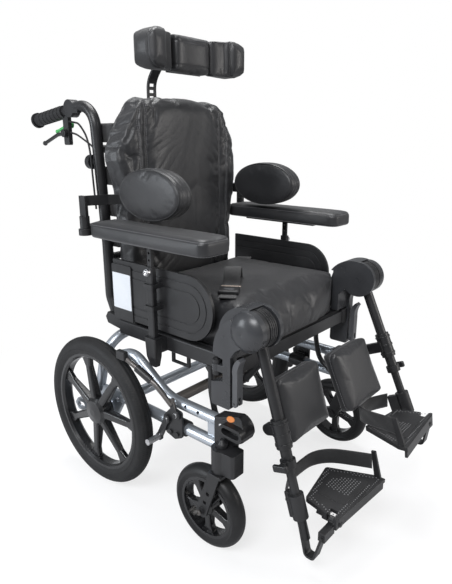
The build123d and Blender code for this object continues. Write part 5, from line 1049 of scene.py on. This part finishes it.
def inside(point, outline):
    """Distance inside an outline, or a negative number outside it."""
    x, y = point
    nearest = 1e9
    odd = False
    for (x0, y0), (x1, y1) in zip(outline, outline[1:] + outline[:1]):
        dx, dy = x1 - x0, y1 - y0
        t = max(0.0, min(1.0, ((x - x0) * dx + (y - y0) * dy) / (dx * dx + dy * dy)))
        nearest = min(nearest, math.hypot(x - x0 - t * dx, y - y0 - t * dy))
        if (y0 > y) != (y1 > y) and x < x0 + (y - y0) / (y1 - y0) * dx:
            odd = not odd
    return nearest if odd else -nearest


def domes(spots, radius, height, sides=8):
    """Low round studs at (x, y, z) spots."""
    verts = []
    faces = []
    for x, y, z in spots:
        base = len(verts)
        for ring, (share, up) in enumerate(((1.0, -0.2), (0.8, 0.6), (0.35, 0.95))):
            for k in range(sides):
                a = 2 * math.pi * k / sides
                verts.append((x + radius * share * math.cos(a), y + radius * share * math.sin(a),
                              z + height * up))
        for ring in range(2):
            for k in range(sides):
                j = (k + 1) % sides
                faces.append((base + ring * sides + k, base + ring * sides + j,
                              base + (ring + 1) * sides + j, base + (ring + 1) * sides + k))
        faces.append(tuple(base + 2 * sides + k for k in range(sides)))
        faces.append(tuple(base + k for k in range(sides - 1, -1, -1)))
    return verts, faces


def grip_dots(side_name):
    """Studs along the tray's border and close rows on the raised patch."""
    spots = []
    for i in range(28):
        for j in range(20):
            x = 8 + i * 7.2 + (3.6 if j % 2 else 0)
            y = -90 + j * 6.6
            depth = inside((x, y), PLATE)
            patch = inside((x, y), TRIANGLE)
            if 4 < depth < 13 and patch < -2:
                spots.append((x, y, 0.0))
            elif patch > 5 and x < 118 and y > -60:
                spots.append((x, y, 1.0))
    spots = [(x * MM, y * MM, z * MM) for x, y, z in spots]
    verts, faces = domes(spots, 1.7 * MM, 1.2 * MM)
    matrix = foot_matrix(side_name)
    if SIDES[side_name] < 0:
        faces = [tuple(reversed(f)) for f in faces]
    piece(f"grip_studs_{side_name}", placed(matrix, verts), faces, "stud", f"plate_{side_name}")


# ---------------------------------------------------------------------------
# small fittings
# ---------------------------------------------------------------------------

def screw(name, at, toward, radius, material, body, height=None):
    """A round head with a bevelled rim and a hexagonal recess."""
    height = height or radius * 0.55
    z = Vector(toward).normalized()
    x = z.orthogonal().normalized()
    y = z.cross(x)
    rings = [(1.0, -0.2), (1.0, 0.55), (0.9, 0.86), (0.76, 1.0)]
    sides = 24
    verts = []
    for share, up in rings:
        for k in range(sides):
            a = 2 * math.pi * k / sides
            verts.append(Vector(at) + (x * math.cos(a) + y * math.sin(a)) * radius * share + z * height * up)
    for depth in (1.0, 0.3):
        for k in range(sides):
            a = 2 * math.pi * k / sides
            corner = math.cos(math.pi / 6) / math.cos((a % (math.pi / 3)) - math.pi / 6)
            verts.append(Vector(at) + (x * math.cos(a) + y * math.sin(a)) * radius * 0.5 * corner
                         + z * height * depth)
    faces = []
    for ring in range(5):
        for k in range(sides):
            j = (k + 1) % sides
            faces.append((ring * sides + k, ring * sides + j, (ring + 1) * sides + j,
                          (ring + 1) * sides + k))
    faces.append(tuple(5 * sides + k for k in range(sides)))
    faces.append(tuple(range(sides - 1, -1, -1)))
    return piece(name, verts, faces, material, body, angle=40)


def disc(name, at, toward, radius, height, material, body, dish=0.0, scale_y=1.0, along=None):
    """A low round or oval cap with a soft rim; along is its long direction."""
    z = Vector(toward).normalized()
    x = Vector(along) if along else z.orthogonal().normalized()
    y = z.cross(x)
    sides = 48
    verts = []
    rings = [(1.0, -0.3), (1.0, 0.5), (0.96, 0.85), (0.88, 1.0), (0.5, 1.0 - dish), (0.0001, 1.0 - dish)]
    for share, up in rings:
        for k in range(sides):
            a = 2 * math.pi * k / sides
            verts.append(Vector(at) + (x * math.cos(a) + y * math.sin(a) * scale_y) * radius * share
                         + z * height * up)
    faces = []
    for ring in range(len(rings) - 1):
        for k in range(sides):
            j = (k + 1) % sides
            faces.append((ring * sides + k, ring * sides + j, (ring + 1) * sides + j,
                          (ring + 1) * sides + k))
    faces.append(tuple(range(sides - 1, -1, -1)))
    faces.append(tuple((len(rings) - 1) * sides + k for k in range(sides)))
    return piece(name, verts, faces, material, body, angle=50)


def card():
    """Blank pale card behind its clear holder, on the right panel."""
    x = -(239 + 4 + 3) * MM - 0.0003
    y0, y1 = AXLE_Y - 95 * MM, AXLE_Y - 26 * MM
    z0, z1 = 488 * MM, 580 * MM
    r = 2.5 * MM
    ring = []
    corners = ((y1 - r, z1 - r, 0), (y0 + r, z1 - r, 90), (y0 + r, z0 + r, 180), (y1 - r, z0 + r, 270))
    for cy, cz, a0 in corners:
        for k in range(6):
            a = math.radians(a0 + 90 * k / 5)
            ring.append((cy + r * math.cos(a), cz + r * math.sin(a)))
    verts = [(x + d, y, z) for d in (0.0006, -0.0004) for y, z in ring]
    n = len(ring)
    faces = [tuple(range(n)), tuple(range(2 * n - 1, n - 1, -1))]
    faces += [(k, n + k, n + (k + 1) % n, (k + 1) % n) for k in range(n)]
    piece("blank_card", verts, faces, "card", "seat", smooth=False)


def fittings():
    """Bolt heads, pivot caps and the coloured caps of the castings, both sides alike."""
    for side_name, side in SIDES.items():
        out = (side, 0, 0)
        screw(f"post_bolt_{side_name}", (side * 0.2795, POST_Y, POST_BOLT_Z), out, 0.0072, "steel", "seat",
              0.0042)
        disc(f"casting_cap_{side_name}", (side * 0.2671, AXLE_Y - 0.437, 0.3254), (side, 0, 1),
             0.0105, 0.0016, "orange_plastic", "base", 0.25, 0.62, (0, 1, 0))
        screw(f"casting_bolt_{side_name}", (side * 0.2719, AXLE_Y - 0.412, 0.3045), out, 0.0042, "steel",
              "base", 0.0024)
        screw(f"casting_low_bolt_{side_name}", (side * 0.2719, AXLE_Y - 0.405, 0.2440), out, 0.0050,
              "black_coat", "base", 0.0028)
        screw(f"brake_pivot_{side_name}", (side * 0.2838, BRAKE_Y, BRAKE_Z), out, 0.0064, "steel",
              f"brake_{side_name}", 0.0036)
        screw(f"shoe_pivot_{side_name}", (side * 0.2838, AXLE_Y - 0.250, 0.262), out, 0.0058, "steel",
              f"shoe_{side_name}", 0.0034)
        screw(f"castor_nut_{side_name}", (side * 0.3235, CASTOR_Y, CASTOR_Z), out, 0.0062, "lever_metal",
              f"fork_{side_name}", 0.0030)


# ---------------------------------------------------------------------------
# control cables
# ---------------------------------------------------------------------------

def control_cables():
    """Four sheathed cables from the lever housings down beside the canes."""
    grip = 199 * MM
    block_y = AXLE_Y + 184 * MM
    brake_z = 915 * MM
    hand_z = 937 * MM
    routes = {
        "brake": [
            (grip, block_y - 0.001, brake_z + 0.002), (grip, block_y - 0.020, brake_z - 0.001),
            (grip, block_y - 0.038, brake_z - 0.006),
            (grip - 0.014, cane_y(0.880) + 0.022, brake_z - 0.046),
            (grip - 0.019, cane_y(0.800) + 0.017, 0.800), (grip - 0.019, cane_y(0.660) + 0.017, 0.650),
        ],
        "release": [
            (grip + 0.002, block_y - 0.001, hand_z + 0.008), (grip + 0.003, block_y - 0.026, hand_z + 0.005),
            (grip + 0.004, block_y - 0.050, hand_z + 0.002),
            (grip + 0.027, cane_y(0.880) + 0.004, brake_z - 0.020),
            (grip + 0.028, cane_y(0.800) + 0.003, 0.790), (grip + 0.028, cane_y(0.740) + 0.002, 0.728),
        ],
    }
    for side_name, side in SIDES.items():
        for kind, route in routes.items():
            route = [(side * x, y, z) for x, y, z in route]
            path = curve_points(route)
            verts, faces = tube(path, 0.0025, 10)
            mesh = bpy.data.meshes.new("cable")
            mesh.from_pydata([tuple(v) for v in verts], [], faces)
            obj = new_object(f"{kind}_cable_{side_name}", mesh, "rubber")
            mesh.shade_smooth()
            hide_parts("control_cables")
            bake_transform(obj)


# ---------------------------------------------------------------------------
# folds, seams and stitching
# ---------------------------------------------------------------------------

SEAM_X = (0.137, 0.161)


def crease(phase):
    """A narrow valley between soft swells, once every unit of phase."""
    part = phase - np.floor(phase)
    return (1 - np.abs(np.sin(math.pi * part))) ** 2


def value_noise(u, seed):
    """Smooth one-dimensional noise from 0 to 1, the same each run."""
    rng = np.random.default_rng(seed)
    table = rng.random(64)
    i = np.floor(u).astype(int)
    t = u - i
    t = t * t * (3 - 2 * t)
    return table[i % 64] * (1 - t) + table[(i + 1) % 64] * t


def seam_at(z, which):
    """The back's seams lean in near the top, where its corners turn."""
    top = np.clip((z - 0.90) / 0.10, 0, 1)
    return SEAM_X[which] - top ** 2 * (0.020 if which else 0.006)


def back_folds(co, facing):
    """Slanting folds that start at the long seams, and the pull of the seams themselves."""
    x, z = co[:, 0], co[:, 2]
    front = np.clip(-facing[:, 1], 0, 1) ** 0.5
    a = np.abs(x)
    inner, outer = seam_at(z, 0), seam_at(z, 1)
    side = np.where(x < 0, 0, 3)
    near = np.clip(inner - a, 0, 1)
    jog = value_noise(z * 23 + side, 3) * 0.9 + value_noise(z * 9, 5) * 1.2
    depth = 0.0022 * np.exp(-near / 0.045) * (0.25 + value_noise(z * 14 + side * 7, 11))
    inside_fold = np.where(a < inner, crease((z - 0.9 * near) / 0.031 + jog) * depth, 0)
    far = np.clip(a - outer, 0, 1)
    depth = 0.0016 * np.exp(-far / 0.03) * (0.1 + value_noise(z * 11 + side * 5, 17))
    outside_fold = np.where(a > outer, crease((z + 1.1 * far) / 0.034 + jog) * depth, 0)
    wander = 3 * value_noise(z * 6, 2)
    long_fold = 0.0012 * (value_noise(x * 38 + wander, 23) - 0.5) * np.clip(near / 0.05, 0, 1)
    pull = groove(a - inner, 0.0026, 0.0035) + groove(a - outer, 0.0022, 0.0035)
    return facing * ((long_fold - inside_fold - outside_fold - pull) * front)[:, None]


def back_seams(obj):
    tree = surface(obj)
    for side_name, side in SIDES.items():
        for which in (0, 1):
            for row, shift in enumerate((-0.0022, 0.0022)):
                if which == 0 and row == 0:
                    shift = -0.0034
                zs = np.linspace(0.598, 0.990 if which == 0 else 0.978, 170)
                rays = [(side * (float(seam_at(z, which)) + shift), -0.2, z) for z in zs]
                points, facing = on_surface(tree, rays, (0, 1, 0))
                stitches(f"back_stitch_{side_name}_{which}_{row}", points, facing, "back")


def loop_stitches(name, obj, at, normal, body, keep=None, thread="thread", pick=1, **sizes):
    """Stitching all the way round a pad where a plane crosses it."""
    for number, loop in enumerate(cut_loops(obj, at, normal)[:pick]):
        loop = smooth_path(loop, 2, True)
        facing = loop_facing(obj, loop)
        closed = list(loop) + [loop[0]]
        facing = facing + [facing[0]]
        if keep is not None:
            chosen = [i for i, p in enumerate(closed) if keep(p)]
            if len(chosen) < 8:
                continue
            closed = [closed[i] for i in chosen]
            facing = [facing[i] for i in chosen]
        stitches(f"{name}_{number}", closed, facing, body, thread, **sizes)


def by_name(name):
    return bpy.data.objects[name]


def pull_plane(obj, at, normal, depth, width):
    """A seam pulled in where a plane crosses a pad."""
    at = np.array(at)
    normal = np.array(normal) / np.linalg.norm(normal)
    shape(obj, lambda co, facing: -facing * groove((co - at) @ normal, depth, width)[:, None])


def dress_pads():
    shape(back, back_folds)
    back_seams(back)
    pull_plane(head, (0, 0, 1.0755), (0, 0, 1), 0.0010, 0.0020)
    pull_plane(head, (0, 0, 1.1305), (0, 0, 1), 0.0010, 0.0020)
    for side_name, side in SIDES.items():
        pad = by_name(f"headrest_wing_cover_{side_name}")
        at = (0, AXLE_Y - 0.1035, 0)
        pull_plane(pad, at, (0, 1, 0), 0.0014, 0.0022)
        for number, loop in enumerate(cut_loops(pad, at, (0, 1, 0))[:1]):
            welt(f"wing_welt_{side_name}_{number}", pad, loop, 0.0014, "vinyl_side", f"wing_{side_name}",
                 0.0004)
        loop_stitches(f"wing_stitch_{side_name}", pad, (0, AXLE_Y - 0.0985, 0), (0, 1, 0),
                      f"wing_{side_name}", thread="dark_thread")
        pad = by_name(f"armrest_pad_cover_{side_name}")
        for level, z in enumerate((0.7035, 0.6752)):
            pull_plane(pad, (0, 0, z), (0, 0, 1), 0.0009, 0.0018)
            loop_stitches(f"armrest_stitch_{side_name}_{level}", pad, (0, 0, z), (0, 0, 1),
                          f"armrest_{side_name}")
        pad = by_name(f"trunk_pad_cover_{side_name}")
        for number, x in enumerate((0.2335, 0.2225, 0.2075, 0.1965)):
            at = (side * x, 0, 0)
            loops = cut_loops(pad, at, (1, 0, 0))
            if loops and number in (0, 3):
                welt(f"trunk_welt_{side_name}_{number}", pad, loops[0], 0.0016, "vinyl_side",
                     f"trunk_{side_name}", 0.0002)
            elif loops:
                pull_plane(pad, at, (1, 0, 0), 0.001, 0.0018)
                loop_stitches(f"trunk_stitch_{side_name}_{number}", pad, at, (1, 0, 0),
                              f"trunk_{side_name}", thread="dark_thread")
        pad = by_name(f"calf_pad_cover_{side_name}")
        matrix = leg_matrix(side_name)
        normal = (matrix.to_3x3() @ Vector((0, 1, 0))).normalized()
        for number, y in enumerate((0.034, 0.052)):
            at = matrix @ Vector((0, y, 0))
            pull_plane(pad, at, normal, 0.0010, 0.0018)
            loop_stitches(f"calf_stitch_{side_name}_{number}", pad, at, normal, f"calf_{side_name}")


dress_pads()


tension_bands()
hip_belt()
control_cables()
card()
fittings()
for side_name, side in SIDES.items():
    rear_tyre(side_name, side)
    heel_strap(side_name)
    grip_dots(side_name)


# ---------------------------------------------------------------------------
# stage, camera and light
# ---------------------------------------------------------------------------

def make_stage():
    mesh = bpy.data.meshes.new("floor")
    mesh.from_pydata([(-40, -40, -0.0005), (40, -40, -0.0005), (40, 40, -0.0005), (-40, 40, -0.0005)], [],
                     [(0, 1, 2, 3)])
    floor = bpy.data.objects.new("floor", mesh)
    scene.collection.objects.link(floor)
    mat = bpy.data.materials.new("pale_floor")
    mat.use_nodes = True
    tree = mat.node_tree
    tree.nodes.clear()
    out = tree.nodes.new("ShaderNodeOutputMaterial")
    diffuse = tree.nodes.new("ShaderNodeBsdfDiffuse")
    diffuse.inputs["Color"].default_value = (0.62, 0.62, 0.63, 1)
    glow = tree.nodes.new("ShaderNodeEmission")
    glow.inputs["Color"].default_value = (1, 1, 1, 1)
    path = tree.nodes.new("ShaderNodeLightPath")
    place = tree.nodes.new("ShaderNodeTexCoord")
    reach = tree.nodes.new("ShaderNodeVectorMath")
    reach.operation = "LENGTH"
    tree.links.new(place.outputs["Object"], reach.inputs[0])
    share = tree.nodes.new("ShaderNodeMapRange")
    share.interpolation_type = "SMOOTHERSTEP"
    tree.links.new(reach.outputs["Value"], share.inputs["Value"])
    share.inputs["From Min"].default_value = 0.45
    share.inputs["From Max"].default_value = 1.25
    share.inputs["To Min"].default_value = 0.55
    share.inputs["To Max"].default_value = 1.0
    level = tree.nodes.new("ShaderNodeMapRange")
    tree.links.new(share.outputs["Result"], level.inputs["Value"])
    level.inputs["From Min"].default_value = 0.55
    level.inputs["From Max"].default_value = 1.0
    level.inputs["To Min"].default_value = 1.35
    level.inputs["To Max"].default_value = 1.0
    tree.links.new(level.outputs["Result"], glow.inputs["Strength"])
    seen = tree.nodes.new("ShaderNodeMath")
    seen.operation = "MULTIPLY"
    tree.links.new(path.outputs["Is Camera Ray"], seen.inputs[0])
    tree.links.new(share.outputs["Result"], seen.inputs[1])
    mix = tree.nodes.new("ShaderNodeMixShader")
    tree.links.new(seen.outputs[0], mix.inputs[0])
    tree.links.new(diffuse.outputs[0], mix.inputs[1])
    tree.links.new(glow.outputs[0], mix.inputs[2])
    tree.links.new(mix.outputs[0], out.inputs["Surface"])
    mesh.materials.append(mat)


def make_world():
    world = bpy.data.worlds.new("studio")
    scene.world = world
    world.use_nodes = True
    tree = world.node_tree
    tree.nodes.clear()
    out = tree.nodes.new("ShaderNodeOutputWorld")
    room = tree.nodes.new("ShaderNodeBackground")
    room.inputs["Color"].default_value = (0.93, 0.96, 1.0, 1)
    room.inputs["Strength"].default_value = 0.26
    white = tree.nodes.new("ShaderNodeBackground")
    white.inputs["Color"].default_value = (1, 1, 1, 1)
    white.inputs["Strength"].default_value = 1.0
    path = tree.nodes.new("ShaderNodeLightPath")
    seen = tree.nodes.new("ShaderNodeMath")
    seen.operation = "MAXIMUM"
    clear = tree.nodes.new("ShaderNodeMath")
    clear.operation = "MAXIMUM"
    tree.links.new(path.outputs["Is Camera Ray"], seen.inputs[0])
    tree.links.new(path.outputs["Is Transmission Ray"], seen.inputs[1])
    tree.links.new(seen.outputs[0], clear.inputs[0])
    gloss = tree.nodes.new("ShaderNodeMath")
    gloss.operation = "MULTIPLY"
    gloss.inputs[1].default_value = 0.08
    tree.links.new(path.outputs["Is Glossy Ray"], gloss.inputs[0])
    tree.links.new(gloss.outputs[0], clear.inputs[1])
    mix = tree.nodes.new("ShaderNodeMixShader")
    tree.links.new(clear.outputs[0], mix.inputs[0])
    tree.links.new(room.outputs[0], mix.inputs[1])
    tree.links.new(white.outputs[0], mix.inputs[2])
    tree.links.new(mix.outputs[0], out.inputs["Surface"])


def lamp(name, place, target, size, power, color=(1, 1, 1)):
    data = bpy.data.lights.new(name, "AREA")
    data.shape = "RECTANGLE"
    data.size, data.size_y = size
    data.energy = power
    data.color = color
    obj = bpy.data.objects.new(name, data)
    obj.location = place
    obj.rotation_euler = (Vector(target) - Vector(place)).to_track_quat("-Z", "Y").to_euler()
    scene.collection.objects.link(obj)


make_stage()
make_world()
lamp("key", (-2.2, -0.9, 2.6), (0, 0, 0.6), (1.3, 1.0), 62, (0.97, 0.98, 1.0))
lamp("left_side", (-2.5, 1.5, 1.2), (0, 0, 0.5), (0.7, 1.6), 34, (0.90, 0.95, 1.0))
lamp("front_fill", (1.4, -2.8, 1.5), (0, 0, 0.5), (1.2, 1.4), 34, (1.0, 0.97, 0.94))
lamp("top", (0.3, 0.5, 3.0), (0, 0, 0.5), (1.5, 1.5), 60)

camera_data = bpy.data.cameras.new("camera")
camera_data.lens = 32.06
camera_data.sensor_width = 36
camera_data.clip_start = 0.05
camera_data.clip_end = 200
camera = bpy.data.objects.new("camera", camera_data)
camera.location = (-1.0202, -0.88934, 0.8986)
camera.rotation_euler = Vector((0.72461, 0.62926, -0.28101)).to_track_quat("-Z", "Y").to_euler()
scene.collection.objects.link(camera)
scene.camera = camera
scene.view_settings.view_transform = "Standard"
